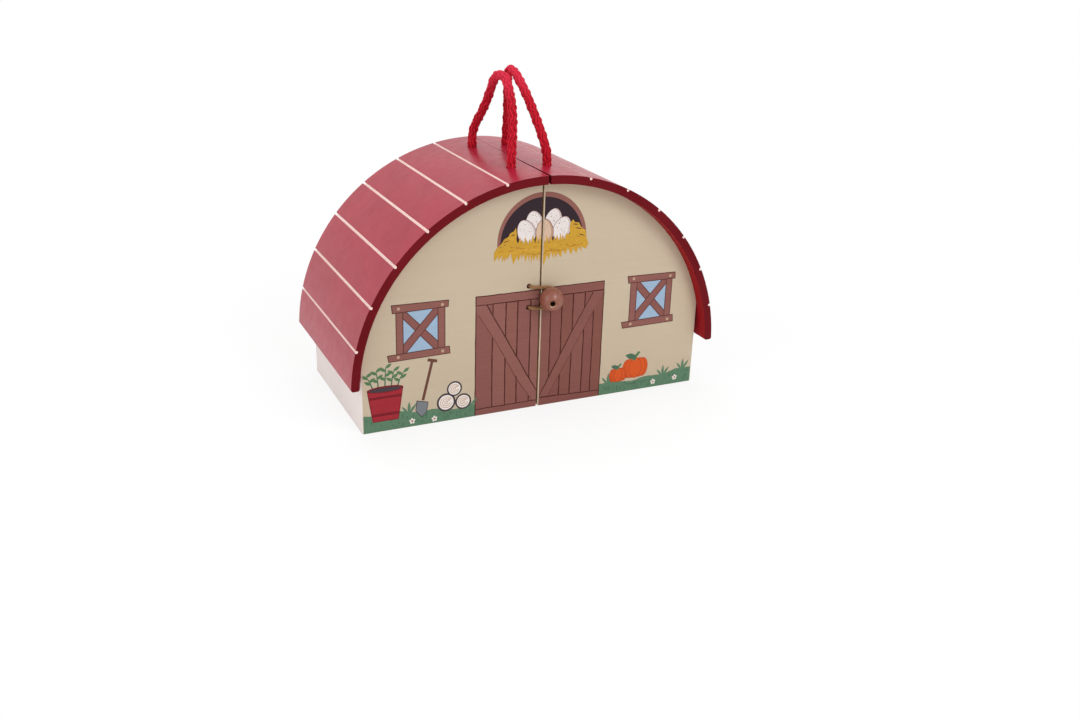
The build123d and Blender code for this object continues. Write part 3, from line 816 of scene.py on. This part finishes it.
def hinge_screws():
    """Countersunk screws, flush with the leaves, with cross recesses turned as they happened to stop."""
    for name in SIDES:
        low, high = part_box(f"{name}_hinge_screws")
        radius = (high.x - low.x) / 2
        profile = [(radius * 0.985, 0.0), (radius * 0.99, -0.08 * MM)]
        profile += [(r * MM, h * MM) for r, h in HINGE_SCREW_SHANK]
        first, last = low.z + radius, high.z - radius
        solid = Solid()
        for z in (first, first + HINGE_SCREW_GAP, last - HINGE_SCREW_GAP, last):
            turn = random.uniform(0, math.pi)
            head = ((low.x + high.x) / 2, high.y, z)
            place = screw_frame(head, (0, 1, 0), (math.cos(turn), 0, math.sin(turn)))
            add_screw(solid, place, profile, radius, HINGE_CROSS_DEPTH)
        screws = solid.piece(f"{name}_cross_head_screws", screw_steel, smooth=False)
        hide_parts(f"{name}_hinge_screws")
        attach(screws, f"{name}_half")


PAN_HEAD = ((3.1, 2.2), (3.6, 1.8), (3.88, 1.1), (3.9, 0.5), (3.9, 0.0), (1.7, 0.0))      # from its seat, mm
SEAT_SUNK = 1.5 * MM      # into the panel


def bead_screw():
    """The leaning screw that holds the bead: its head is inside the panel and its point in the bead."""
    seat = (PANEL_INSIDE_Y - BEAD_CENTRE.y) / -BEAD_AXIS.y - SEAT_SUNK      # from the bead's centre
    profile = [(radius * MM, seat + height * MM) for radius, height in PAN_HEAD] + [(1.7 * MM, 0.5 * MM)]
    solid = Solid()
    inward, outward = (screw_frame(BEAD_CENTRE, BEAD_AXIS * way, (0, 0, 1)) for way in (-1, 1))
    add_screw(solid, inward, profile, PAN_HEAD[0][0] * MM, 1.1 * MM)
    add_thread(solid, outward, 2.1 * MM, 4.0 * MM - seat, 4.0 * MM, 2.4 * MM)
    screw = solid.piece("bead_thread_screw", screw_steel, smooth=False)
    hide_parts("bead_screw")
    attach(screw, "right_half")


# --- the printed front ---
PAINT = 0.012         # one layer of print, in millimetres
SEAM_EDGE = {-1: 1.0, 1: 1.3}     # where the print stops beside the seam
PRINT_LOW, PRINT_HIGH = 0.35, 175.0      # and above the underside
PRINT_WIDE = HALF_WIDTH / MM - 0.9
PAST = 1.0            # how far a shape runs on past the print's edge or under what covers its own

INK_COLOURS = {
    "board": (138, 90, 82), "board_warm": (136, 87, 78), "board_cool": (134, 84, 78),
    "deep_board": (131, 83, 75), "deep_board_warm": (127, 79, 69), "deep_board_cool": (128, 78, 72),
    "line": (72, 34, 28), "outline": (84, 46, 42), "faint_line": (100, 56, 48), "nail": (184, 152, 130),
    "pane": (152, 176, 199), "arch": (140, 92, 84), "loft": (48, 36, 42), "straw_line": (158, 92, 34),
    "hay": (196, 150, 50), "hay_light": (214, 170, 78), "hay_dark": (150, 98, 36), "speckle": (140, 96, 78),
    "egg": (222, 213, 210), "egg_shade": (198, 184, 182),
    "brown_egg": (206, 176, 152), "brown_egg_shade": (178, 144, 120),
    "grass": (92, 126, 100), "grass_dark": (74, 106, 84), "petal": (232, 222, 216), "leaf": (84, 120, 82),
    "tub": (158, 42, 52), "tub_dark": (118, 28, 38), "stick": (104, 66, 56), "bark": (70, 60, 66),
    "iron": (120, 124, 128), "orange": (208, 86, 36), "orange_dark": (172, 58, 28),
}
MOTTLE = {      # how uneven an ink is, where not 0.1
    "pane": 0.08, "bark": 0.08, "iron": 0.06, "nail": 0.05, "petal": 0.03,
    "egg": 0.03, "egg_shade": 0.03, "brown_egg": 0.03, "brown_egg_shade": 0.03,
}
INKS = {name: ink(name, rgb(*colour), MOTTLE.get(name, 0.1), 0.4 if name == "pane" else 0.55)
        for name, colour in INK_COLOURS.items()}


def circle(centre, radius, tall=None, sides=28, turn=0.0, narrow=0.0):
    """An ellipse as an (x, z) outline, or an egg, its top narrower and its foot wider by that share."""
    outline = []
    for c, s in turn_points(sides):
        x, z = radius * c * (1 - narrow * s), (tall or radius) * s
        outline.append((centre[0] + x * math.cos(turn) - z * math.sin(turn),
                        centre[1] + x * math.sin(turn) + z * math.cos(turn)))
    return outline


def rectangle(x, z):
    return [(x[0], z[0]), (x[1], z[0]), (x[1], z[1]), (x[0], z[1])]


def area(outline):
    return sum(a[0] * b[1] - b[0] * a[1] for a, b in zip(outline, outline[1:] + outline[:1])) / 2


def inset(outline, distance):
    """The outline drawn in by a distance all round."""
    if area(outline) < 0:
        outline = outline[::-1]
    drawn_in = []
    for corners in zip(outline[-1:] + outline[:-1], outline, outline[1:] + outline[:1]):
        a, b, c = (Vector(corner) for corner in corners)
        first, second = (b - a).normalized(), (c - b).normalized()
        normal = Vector((-first.y - second.y, first.x + second.x)).normalized()
        reach = distance / max(0.35, normal.dot(Vector((-first.y, first.x))))
        drawn_in.append(tuple(b + normal * reach))
    return drawn_in


def ribbon(points, widths):
    """The outline of a line along points that has a width at each of them."""
    left, right = [], []
    points = [Vector(point) for point in points]
    for point, way, width in zip(points, line_ways(points), widths):
        across = Vector((-way.y, way.x)).normalized() * width / 2
        left.append(tuple(point + across))
        right.append(tuple(point - across))
    return left + right[::-1]


def stroke(points, width, taper=1.0):
    """A brush line along points, its far end taper times as wide."""
    return ribbon(points, [width * (1 + (taper - 1) * i / (len(points) - 1)) for i in range(len(points))])


def drawn(points, width, chance, wander=0.13, step=5.0):
    """A line drawn by hand: it wanders a little and its width is not even."""
    line = []
    for a, b in zip(points, points[1:]):
        pieces = max(1, round(math.dist(a, b) / step))
        line += [(a[0] + (b[0] - a[0]) * k / pieces, a[1] + (b[1] - a[1]) * k / pieces)
                 for k in range(pieces)]
    line.append(points[-1])
    line = [(x + chance.uniform(-wander, wander), z + chance.uniform(-wander, wander)) for x, z in line]
    return ribbon(line, [width * chance.uniform(0.8, 1.2) for _ in line])


def arc(centre, radius, start, end, tall=None, count=14):
    """Points of an arc between two angles in degrees."""
    angles = [math.radians(start + (end - start) * i / count) for i in range(count + 1)]
    return [(centre[0] + radius * math.cos(a), centre[1] + (tall or radius) * math.sin(a)) for a in angles]


def leaf_shape(root, tip, width):
    """A pointed leaf or blade between two points."""
    a, b = Vector(root), Vector(tip)
    across = Vector((-(b - a).y, (b - a).x)).normalized() * width / 2
    rise = [(0.0, 0.35), (0.25, 0.85), (0.5, 1.0), (0.75, 0.65), (1.0, 0.0)]
    left = [tuple(a.lerp(b, t) + across * w) for t, w in rise]
    right = [tuple(a.lerp(b, t) - across * w) for t, w in rise[:-1]]
    return left + right[::-1]


def inside(point, outline):
    """Whether a point lies within an outline."""
    x, z = point
    odd = False
    for (x1, z1), (x2, z2) in zip(outline, outline[1:] + outline[:1]):
        if (z1 > z) != (z2 > z) and x < x1 + (z - z1) * (x2 - x1) / (z2 - z1):
            odd = not odd
    return odd


def overlap(a, b):
    """Whether two outlines cover any of the same surface."""
    for k in (0, 1):
        across_a, across_b = [p[k] for p in a], [p[k] for p in b]
        if min(max(across_a), max(across_b)) - max(min(across_a), min(across_b)) < 0.01:
            return False
    if any(inside(p, b) for p in a) or any(inside(p, a) for p in b):
        return True
    return any(intersect_line_line_2d(*pair, *other) for pair in zip(a, a[1:] + a[:1])
               for other in zip(b, b[1:] + b[:1]))


class Print:
    """Printed shapes on the front of one half, in (x, z) millimetres, later ones over earlier ones."""

    laid = {-1: [], 1: []}      # for each half, every shape's outline and its layer

    def __init__(self, name, side):
        self.name, self.side = name, side
        self.points, self.faces, self.marks, self.inks = [], [], [], []
        limits = sorted((side * SEAM_EDGE[side], side * PRINT_WIDE))
        self.room = rectangle(limits, (PRINT_LOW, PRINT_HIGH))
        self.holes = [circle(hole, ELASTIC_HOLE_RADIUS + 0.12) for hole in ELASTIC_HOLES] if side < 0 else []

    def paint(self, outline, colour):
        """Fills an outline, one layer over all that it covers, within this half and clear of its holes."""
        below = [layer for shape, layer in self.laid[self.side] if overlap(outline, shape)]
        layer = 1 + max(below, default=0)
        self.laid[self.side].append((outline, layer))
        if area(outline) < 0:
            outline = outline[::-1]
        points, triangles = fill([outline, self.room] + self.holes, 1e-5)
        kept = [triangle for triangle, within in triangles if set(within) == {0, 1}]
        if not kept:
            return
        if colour not in self.inks:
            self.inks.append(colour)
        used = sorted({i for triangle in kept for i in triangle})
        front = {i: len(self.points) + k for k, i in enumerate(used)}
        back = {i: len(self.points) + len(used) + k for k, i in enumerate(used)}
        for y in (FRONT_Y - layer * PAINT * MM, FRONT_Y + 0.02 * MM):
            self.points += [(points[i].x * MM, y, points[i].y * MM) for i in used]
        pairs = [pair for a, b, c in kept for pair in ((a, b), (b, c), (c, a))]
        known = set(pairs)
        for a, b, c in kept:
            self.faces += [(front[a], front[b], front[c]), (back[c], back[b], back[a])]
        self.faces += [(front[b], front[a], back[a], back[b]) for a, b in pairs if (b, a) not in known]
        self.marks += [self.inks.index(colour)] * (len(self.faces) - len(self.marks))

    def outlined(self, outline, colour, line, width):
        """A shape with a dark line round it."""
        self.paint(outline, line)
        self.paint(inset(outline, width), colour)

    def piece(self):
        materials = [INKS[colour] for colour in self.inks]
        printed = make_piece(self.name, self.points, self.faces, materials, self.marks, smooth=False)
        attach(printed, "left_half" if self.side < 0 else "right_half")


# Each half's door, measured from the seam outward and up from the underside, in millimetres. The
# boards were drawn by hand, so the two halves differ.
DOORS = {
    -1: {"width": 52.3, "top": 96.0, "rail": 88.8, "foot": (5.4, 5.4), "planks": (7.7, 18.3, 27.8, 38.4),
         "brace": [(43.6, 90.0), (52.3, 90.0), (52.3, 85.5), (4.6, 5.0), (0.0, 5.0), (0.0, 11.8)],
         "upper": [(43.5, 88.7), (22.0, 50.6), (1.3, 13.8)],
         "lower": [(50.1, 81.7), (38.5, 63.1), (27.2, 43.4), (18.5, 26.3), (7.6, 10.6), (4.4, 5.6)]},
    1: {"width": 54.4, "top": 96.8, "rail": 89.4, "foot": (7.1, 5.1),
        "planks": (9.1, 18.4, 27.9, 37.9, 45.8),
        "brace": [(44.9, 90.6), (54.4, 90.6), (54.4, 88.9), (8.0, 5.8), (0.0, 5.0), (0.0, 6.4)],
        "upper": [(44.8, 88.5), (28.6, 60.2), (8.4, 21.4), (4.4, 13.6), (1.2, 8.0)],
        "lower": [(46.0, 74.0), (41.7, 66.1), (27.7, 41.0), (9.0, 7.2)]},
}
PLANK_TONES = ("board", "board_cool", "board_warm")


def print_door(name, side):
    """Half of a double barn door: upright planks between two rails, with one diagonal board."""
    chance = random.Random(31 + side)
    door, plan = Print(f"{name}_printed_door", side), DOORS[side]
    width, top, rail = plan["width"], plan["top"], plan["rail"]
    low, high = plan["foot"]
    tint = "deep_" if side > 0 else ""

    def out(points):
        return [(side * x, z) for x, z in points]

    def board(points, tone="board"):
        door.paint(out(points), tint + tone)

    def line(points, wide, colour="line"):
        door.paint(drawn(out(points), wide, chance), colour)

    board(rectangle((-PAST, width), (-PAST, top)))
    edges = [0.0, *plan["planks"], width]
    for k, ends in enumerate(zip(edges, edges[1:])):
        board(rectangle(ends, (1, rail)), PLANK_TONES[k % 3])
    for x in plan["planks"]:
        line([(x - 0.25, 0), (x + 0.1, rail * 0.5), (x, rail + 0.5)], 0.95)
    board(plan["brace"])
    line(plan["upper"], 0.8)
    line(plan["lower"], 0.5, "faint_line")
    board([(-PAST, -PAST), (width, -PAST), (width, high), (-PAST, low)], "board_cool")
    line([(-PAST, low), (width, high)], 0.75)
    board(rectangle((-PAST, width), (rail, top)))
    line([(-PAST, rail), (width, rail)], 0.8)
    line([(-PAST, top - 0.3), (width - 0.3, top - 0.3)], 0.7)
    line([(width - 0.3, -PAST), (width - 0.3, top - 0.2)], 0.7)
    door.piece()


# The windows, in (x, z) millimetres on the front: corners of the rails, the posts' edges, the
# pane's foot and top, and how far each brace reaches up and across its corner at either end.
WINDOWS = {
    -1: {"rails": ([(-116.0, 90.5), (-73.3, 91.0), (-73.0, 96.4), (-116.8, 97.1)],
                   [(-119.4, 53.7), (-71.8, 54.5), (-72.4, 60.6), (-120.3, 59.2)]),
         "posts": ((-113.5, -107.7), (-81.8, -75.8)), "pane": (60.0, 90.8),
         "falling": ((5.5, 2.6), (6.1, 3.2)), "rising": ((6.6, 2.8), (5.0, 3.6)),
         "nails": ((-111.2, 93.8), (-78.0, 93.2), (-111.9, 56.9), (-77.9, 57.2))},
    1: {"rails": ([(75.3, 91.8), (117.9, 91.5), (117.6, 97.2), (74.2, 98.0)],
                  [(72.2, 54.9), (118.6, 55.4), (118.0, 61.6), (70.9, 60.5)]),
        "posts": ((77.3, 83.5), (109.4, 115.3)), "pane": (61.2, 91.7),
        "falling": ((5.9, 3.0), (5.1, 3.4)), "rising": ((7.2, 2.9), (4.1, 4.4)),
        "nails": ((80.0, 95.3), (113.0, 94.3), (79.4, 57.9), (113.1, 57.9))},
}


def brace_shape(start, end, near, far):
    """A board from one corner of the pane to the opposite one, its ends under the frame."""
    up, under = (1 if end[1] > start[1] else -1), 1.5 * PAST

    def corner(place, out, reach):
        """Five points round the pane's corner: out is 1 where the board leaves it to the right."""
        x, z = place
        high, low = z + out * up * reach[0], z - out * up * under
        back, ahead = x - out * under, x + out * reach[1]
        return [(x, high), (back, high), (back, low), (ahead, low), (ahead, z)]

    return corner(start, 1, near) + corner(end, -1, far)


def print_window(name, side):
    """A window with a cross brace, its frame's rails nailed over the posts."""
    window, plan = Print(f"{name}_printed_window", side), WINDOWS[side]
    (low, high), (first, second) = plan["pane"], plan["posts"]
    left, right = first[1], second[0]
    window.paint(rectangle((left - PAST, right + PAST), (low - PAST, high + PAST)), "pane")
    falling = brace_shape((left, high), (right, low), *plan["falling"])
    rising = brace_shape((left, low), (right, high), *plan["rising"])
    for brace in (falling, rising):
        window.outlined(brace, "board_cool", "outline", 0.6)
    posts = [rectangle(x, (low - 2 * PAST, high + 2 * PAST)) for x in plan["posts"]]
    for board in (*posts, *plan["rails"]):
        window.outlined(board, "board", "outline", 0.62)
    for nail in plan["nails"]:
        window.paint(circle(nail, 1.2, sides=16), "nail")
    window.piece()


LOFT_ARCH, LOFT_DARK = ((0.2, 134.0), 36.1), ((0.0, 133.0), 33.4)      # centre and radius
STRAWS, SPECKS = 44, 16       # drawn on the heap and on each egg
EGGS = [(-6.8, 147.2, 0.16, ""), (8.6, 147.8, -0.2, ""), (-13.2, 141.4, 0.42, ""), (16.0, 141.4, -0.4, ""),
        (1.6, 140.4, 0.04, "brown_")]      # x, z, turn and tint


def egg_shape(x, z, half, tall, turn):
    """An egg's outline, its narrow end up."""
    return circle((x, z), half, tall, 36, turn, narrow=0.13)


def straw_fringe(chance):
    """The heap's lower edge from right to left: blades of uneven length between notches."""
    fringe, x = [], 37.6
    while x > -36.0:
        spread = abs(x) / 38
        foot = 126.2 - 2.0 * (1 - spread ** 2) + chance.uniform(-1.8, 1.5)
        gap = chance.choice((2.0, 2.6, 3.2, 4.4, 5.4))
        long = chance.uniform(3.0, 5.0) + gap * chance.uniform(0.2, 0.8)
        fringe.append((x, foot))
        fringe.append((x - gap * chance.uniform(0.3, 0.7) + x * 0.045, foot - long * (1 - 0.3 * spread)))
        x -= gap
    return fringe


def blades(chance):
    """The heap's upper edge from left to right: high at both ends, with blades before the eggs."""
    edge = [(-38.4, 127.8), (-35.7, 131.7), (-33.0, 133.6), (-30.3, 137.5), (-27.4, 138.6), (-25.9, 141.3),
            (-23.0, 142.6), (-21.4, 145.2), (-20.6, 140.5), (-20.9, 136.0)]
    x = -19.6
    while x < 20.5:
        edge.append((x, 131.6 + chance.uniform(-1.0, 0.6) + 0.04 * abs(x)))
        edge.append((x + chance.uniform(0.2, 1.8), 136.6 + chance.uniform(-1.8, 1.8) + 0.04 * abs(x)))
        x += chance.uniform(1.9, 3.4)
    return edge + [(22.6, 136.5), (22.0, 141.5), (22.8, 145.6), (24.8, 147.4), (26.4, 145.2), (29.6, 144.8),
                   (31.5, 141.4), (35.8, 137.8), (36.4, 133.0), (38.8, 126.7)]


STRAW_GAPS = [
    ((-34.0, 131.0), (-29.0, 133.2)), ((-31.0, 134.8), (-26.2, 136.2)), ((27.0, 141.0), (33.0, 139.6)),
    ((25.0, 144.0), (29.4, 143.2)), ((30.0, 136.0), (35.5, 134.0)), ((-25.0, 139.4), (-21.8, 140.2)),
]
STRAW_TONES = ("straw_line", "hay_light", "hay_dark")
STRAW_CURL = ((0, 0), (0.3, 0.8), (0.65, 1), (1, 0.3))      # along it and to its side, as shares


def print_loft(name, side):
    """A round-headed loft opening filled with straw, with a clutch of eggs in it."""
    chance = random.Random(5)
    loft = Print(f"{name}_printed_loft", side)
    loft.paint(arc(*LOFT_ARCH, -10, 190, count=56), "arch")
    loft.paint(arc(*LOFT_DARK, -8, 188, count=56), "loft")
    for x, z, turn, tint in EGGS:
        loft.paint(egg_shape(x, z, 7.35, 9.6, turn), "faint_line")
        loft.paint(egg_shape(x, z, 7.0, 9.25, turn), tint + "egg_shade")
        loft.paint(egg_shape(x - 0.7, z + 0.7, 5.9, 8.1, turn), tint + "egg")
        for _ in range(SPECKS):
            angle, reach = chance.uniform(0, 2 * math.pi), chance.uniform(0.1, 0.85)
            spot = (x - 0.5 + 5.4 * reach * math.cos(angle), z + 0.5 + 7.4 * reach * math.sin(angle))
            loft.paint(circle(spot, chance.uniform(0.16, 0.36), sides=8), "speckle")
    loft.paint(blades(chance) + straw_fringe(chance), "hay")
    for root, tip in STRAW_GAPS:
        loft.paint(leaf_shape(root, tip, 0.7), "loft")
    for k in range(STRAWS):
        x = -34.5 + 1.55 * k + chance.uniform(-0.8, 0.8)
        high = 129.5 if abs(x) < 22 else 137.0
        z = chance.uniform(123.0, high) + 0.003 * x * x
        bend, long = chance.uniform(-1.2, 1.2), chance.uniform(2.4, 5.0)
        curl = [(x + long * share, z + bend * off) for share, off in STRAW_CURL]
        loft.paint(stroke(curl, chance.uniform(0.4, 0.65), 0.35), STRAW_TONES[k % 3])
    loft.piece()


# Where tufts stand along each half's front and flowers lie on it, and how many dark blades there are.
TUFTS = {-1: (-104.5, -56.5), 1: (62.0, 112.5, 131.0)}
FLOWERS = {-1: ((-102.0, 4.6), (-84.5, 3.6)), 1: ((104.0, 4.8), (124.5, 5.6))}
DARK_BLADES = 46


def grass_top(x):
    """The height of the painted grass."""
    return 11.6 + 2.2 * math.sin(x * 0.045 + 1.0) + 0.8 * math.sin(x * 0.21)


def print_grass(name, side):
    """A strip of grass along the foot, with tufts and small flowers."""
    chance = random.Random(8 + side)
    grass = Print(f"{name}_printed_grass", side)
    steps, inner = 44, DOORS[side]["width"]
    xs = [side * (inner + (PRINT_WIDE + 2 * PAST - inner) * k / steps) for k in range(steps + 1)]
    top = [(x, grass_top(x) + chance.uniform(-0.25, 0.25)) for x in xs]
    grass.paint(top + [(xs[-1], -PAST), (xs[0], -PAST)], "grass")
    for _ in range(DARK_BLADES):
        x = side * chance.uniform(inner + 2, PRINT_WIDE - 2)
        z = chance.uniform(1.5, grass_top(x) - 3.5)
        tip = (x + chance.uniform(-1.2, 1.2), z + chance.uniform(1.8, 3.2))
        grass.paint(leaf_shape((x, z), tip, 0.7), "grass_dark")
    for x in TUFTS[side]:
        z = grass_top(x) - 1.2
        for lean, long, wide in ((-5.5, 6.0, 1.9), (0.4, 9.0, 2.4), (6.0, 7.2, 2.0)):
            grass.paint(leaf_shape((x + lean * 0.12, z), (x + lean, z + long), wide), "grass")
    for x, z in FLOWERS[side]:
        for k in range(5):
            angle = 2 * math.pi * k / 5 + 0.4
            petal = (x + 1.35 * math.cos(angle), z + 1.35 * math.sin(angle))
            grass.paint(circle(petal, 1.1, 0.85, 12, angle), "petal")
        grass.paint(circle((x, z), 0.75, sides=10), "speckle")
    grass.piece()


TUB_X, TUB_RIM, TUB_FOOT = -122.3, 33.5, 8.2       # the tub's middle, and its heights
TUB_RIM_HALF, TUB_FOOT_HALF = 13.7, 9.9            # half its width at each
TUB_HOOPS = (27.2, 13.6)
# The foot of each stem, its lean and its height. A leaf's place is its share of the stem.
STEMS = ((-131.0, -5, 12), (-127.2, -1.5, 15), (-122.5, 1.0, 17), (-118.0, 2.5, 14), (-113.6, 5.5, 12))
LEAVES = ((0.45, -1), (0.62, 1), (0.85, -1), (1.0, 1))      # place and side
LOGS = (((-75.2, 15.4), 7.4), ((-61.6, 14.2), 6.4), ((-68.6, 25.6), 6.0))      # middle and radius
PUMPKINS = (((86.4, 19.6), 9.6), ((71.0, 15.6), 6.6))      # middle and size
LOBES = ((-0.72, 0.5), (0.72, 0.5), (-0.38, 0.62), (0.38, 0.62), (0.0, 0.62))      # off the middle and wide
VINE = [(77.0, 9.0), (79.5, 6.4), (84.0, 6.0), (88.5, 7.6), (93.0, 6.2), (98.0, 7.4)]


def print_garden_things():
    """Left: a planted red tub, a spade and cut logs. They stand on the painted grass."""
    things = Print("left_printed_tub_and_logs", -1)
    things.paint(stroke([(-86.0, 50.5), (-93.5, 20.0)], 2.2), "stick")
    things.paint(stroke([(-89.6, 51.8), (-82.2, 49.8)], 2.4), "stick")
    blade = [(-98.4, 20.6), (-89.2, 18.2), (-90.4, 10.4), (-94.6, 6.4), (-99.4, 12.2)]
    things.outlined(blade, "iron", "bark", 0.5)
    soil = TUB_RIM - 0.5
    for x, lean, high in STEMS:
        stem = [(x, soil), (x + lean * 0.5, soil + high * 0.6), (x + lean, soil + high)]
        things.paint(stroke(stem, 1.1, 0.6), "grass_dark")
        for share, way in LEAVES:
            root = (x + lean * share, soil + high * share)
            things.paint(leaf_shape(root, (root[0] + way * 4.6, root[1] + 3.0), 2.5), "leaf")
    rim = [(TUB_X - TUB_RIM_HALF, TUB_RIM), (TUB_X + TUB_RIM_HALF, TUB_RIM)]
    foot = [(TUB_X + TUB_FOOT_HALF, TUB_FOOT), (TUB_X - TUB_FOOT_HALF, TUB_FOOT)]
    things.outlined(rim + foot, "tub", "tub_dark", 0.6)
    things.paint(circle((TUB_X, TUB_RIM), TUB_RIM_HALF + 0.2, 2.6, 36), "tub_dark")
    things.paint(circle((TUB_X, TUB_RIM - 0.2), TUB_RIM_HALF - 1.4, 1.7, 36), "bark")
    for z in TUB_HOOPS:
        half = TUB_FOOT_HALF + (z - TUB_FOOT) * 0.15
        things.paint(rectangle((TUB_X - half, TUB_X + half), (z - 1.0, z + 1.0)), "tub_dark")
    for centre, size in LOGS:
        things.paint(circle(centre, size, sides=40), "bark")
        things.paint(circle(centre, size * 0.8, sides=36), "petal")
        for ring in (0.62, 0.4, 0.18):
            things.paint(stroke(arc(centre, size * ring, 20, 350, size * ring * 0.94, 24), 0.5), "nail")
        things.paint(stroke([centre, (centre[0] + size * 0.5, centre[1] + size * 0.42)], 0.45), "nail")
    things.piece()


def print_pumpkins():
    """Right: two pumpkins on the grass, with their stems and a curl of vine."""
    patch = Print("right_printed_pumpkins", 1)
    for (x, z), size in PUMPKINS:
        for off, wide in LOBES:
            lobe = circle((x + off * size, z), wide * size, (0.92 - 0.1 * abs(off)) * size, 30)
            patch.outlined(lobe, "orange", "orange_dark", 0.45)
        stem = [(x - 0.2 * size, z + 0.7 * size), (x, z + 1.05 * size), (x + 0.35 * size, z + 1.4 * size)]
        patch.paint(stroke(stem, 0.34 * size, 0.6), "leaf")
        leaf = leaf_shape((x, z + 0.95 * size), (x - size, z + 1.25 * size), 0.5 * size)
        patch.paint(leaf, "grass_dark")
    patch.paint(stroke(VINE, 0.9, 0.5), "grass_dark")
    patch.piece()


def print_front():
    for name, side in SIDES.items():
        print_door(name, side)
        print_loft(name, side)
        print_window(name, side)
    for name, side in SIDES.items():
        print_grass(name, side)
    print_garden_things()
    print_pumpkins()


# --- studio ---
CAMERA_PLACE = (-0.34415, -0.7809, 0.36345)
CAMERA_TURN, CAMERA_DIP, CAMERA_ROLL = (math.radians(a) for a in (25.77, 22.234, 1.936))
CAMERA_LENS = 37.31         # on a 36 mm wide frame


def add_camera():
    """The camera: turned to the right of straight ahead, dipped, and rolled a little."""
    camera = bpy.data.cameras.new("camera")
    camera.sensor_width = 36.0
    camera.lens = CAMERA_LENS
    camera.clip_start = 0.01
    holder = bpy.data.objects.new("camera", camera)
    turned = Matrix.Rotation(-CAMERA_TURN, 4, "Z")
    dipped = Matrix.Rotation(math.pi / 2 - CAMERA_DIP, 4, "X")
    rolled = Matrix.Rotation(CAMERA_ROLL, 4, "Z")
    holder.matrix_world = Matrix.Translation(CAMERA_PLACE) @ turned @ dipped @ rolled
    bpy.context.scene.collection.objects.link(holder)
    bpy.context.scene.camera = holder


LAMP_TARGET = Vector((0, 0, 0.09))


def area_light(name, place, size, power):
    """A plain lamp that faces the middle of the object."""
    lamp = bpy.data.lights.new(name, "AREA")
    lamp.shape = "RECTANGLE"
    lamp.size, lamp.size_y = size
    lamp.energy = power
    holder = bpy.data.objects.new(name, lamp)
    holder.location = place
    holder.rotation_euler = (LAMP_TARGET - Vector(place)).to_track_quat("-Z", "Y").to_euler()
    bpy.context.scene.collection.objects.link(holder)


def seen_directly(nodes):
    """1 for rays from the camera, a mirror or glass, and 0 for light that reaches the object."""
    rays = nodes.add("LightPath").outputs
    seen = nodes.maths("MAXIMUM", rays["Is Camera Ray"], rays["Is Glossy Ray"])
    return nodes.maths("MAXIMUM", seen, rays["Is Transmission Ray"])


WORLD_LIGHT = 0.62


def add_world():
    """A white room that lights the object less than it shows."""
    world = bpy.data.worlds.new("studio")
    bpy.context.scene.world = world
    world.use_nodes = True
    nodes = Nodes(world.node_tree)
    background = world.node_tree.nodes["Background"].inputs
    nodes.feed(background["Color"], (1, 1, 1, 1))
    nodes.feed(background["Strength"], nodes.spread(seen_directly(nodes), 0.0, 1.0, WORLD_LIGHT, 1.0))


FLOOR_WHITE_SHARE = 0.8      # how much of the floor's look is plain white near the object
SHADOW_REACH = 0.26, 0.55    # metres from the middle over which the rest fades to plain white
FLOOR_SIZE = 30.0            # metres from the middle to its edge


def add_floor():
    """A floor that takes the shadows near the object and is plain white farther out."""
    finish = Finish("floor_white", 0.9, Base_Color=(0.93, 0.93, 0.93, 1), Specular_IOR_Level=0.1)
    glow = finish.add("Emission", {"Color": (1, 1, 1, 1)})
    place = finish.add("TexCoord").outputs["Object"]
    distance = finish.add("VectorMath", {0: place}, operation="LENGTH").outputs["Value"]
    fade = finish.spread(distance, *SHADOW_REACH, FLOOR_WHITE_SHARE, 1.0)
    share = finish.maths("MULTIPLY", seen_directly(finish), fade)
    blend = finish.add("MixShader", {"Fac": share, 1: finish.shader.outputs[0], 2: glow.outputs[0]})
    finish.feed(finish.tree.nodes["Material Output"].inputs["Surface"], blend.outputs[0])
    reach = (-FLOOR_SIZE, FLOOR_SIZE)
    corners = [(x, z, 0) for x, z in rectangle(reach, reach)]
    make_piece("studio_floor", corners, [(0, 1, 2, 3)], [finish.material], smooth=False)


def add_studio():
    add_world()
    add_floor()
    area_light("key_light", (0.5, -1.45, 1.35), (1.0, 1.0), 14.4)
    area_light("left_light", (-1.7, -0.3, 0.9), (1.4, 1.2), 9.0)
    area_light("top_light", (0.0, 0.5, 1.9), (1.6, 1.2), 10.0)
    bpy.context.scene.view_settings.view_transform = "Standard"


dress_boards()
rope_handles()
closing_elastic()
hinge_screws()
bead_screw()
print_front()
add_camera()
add_studio()
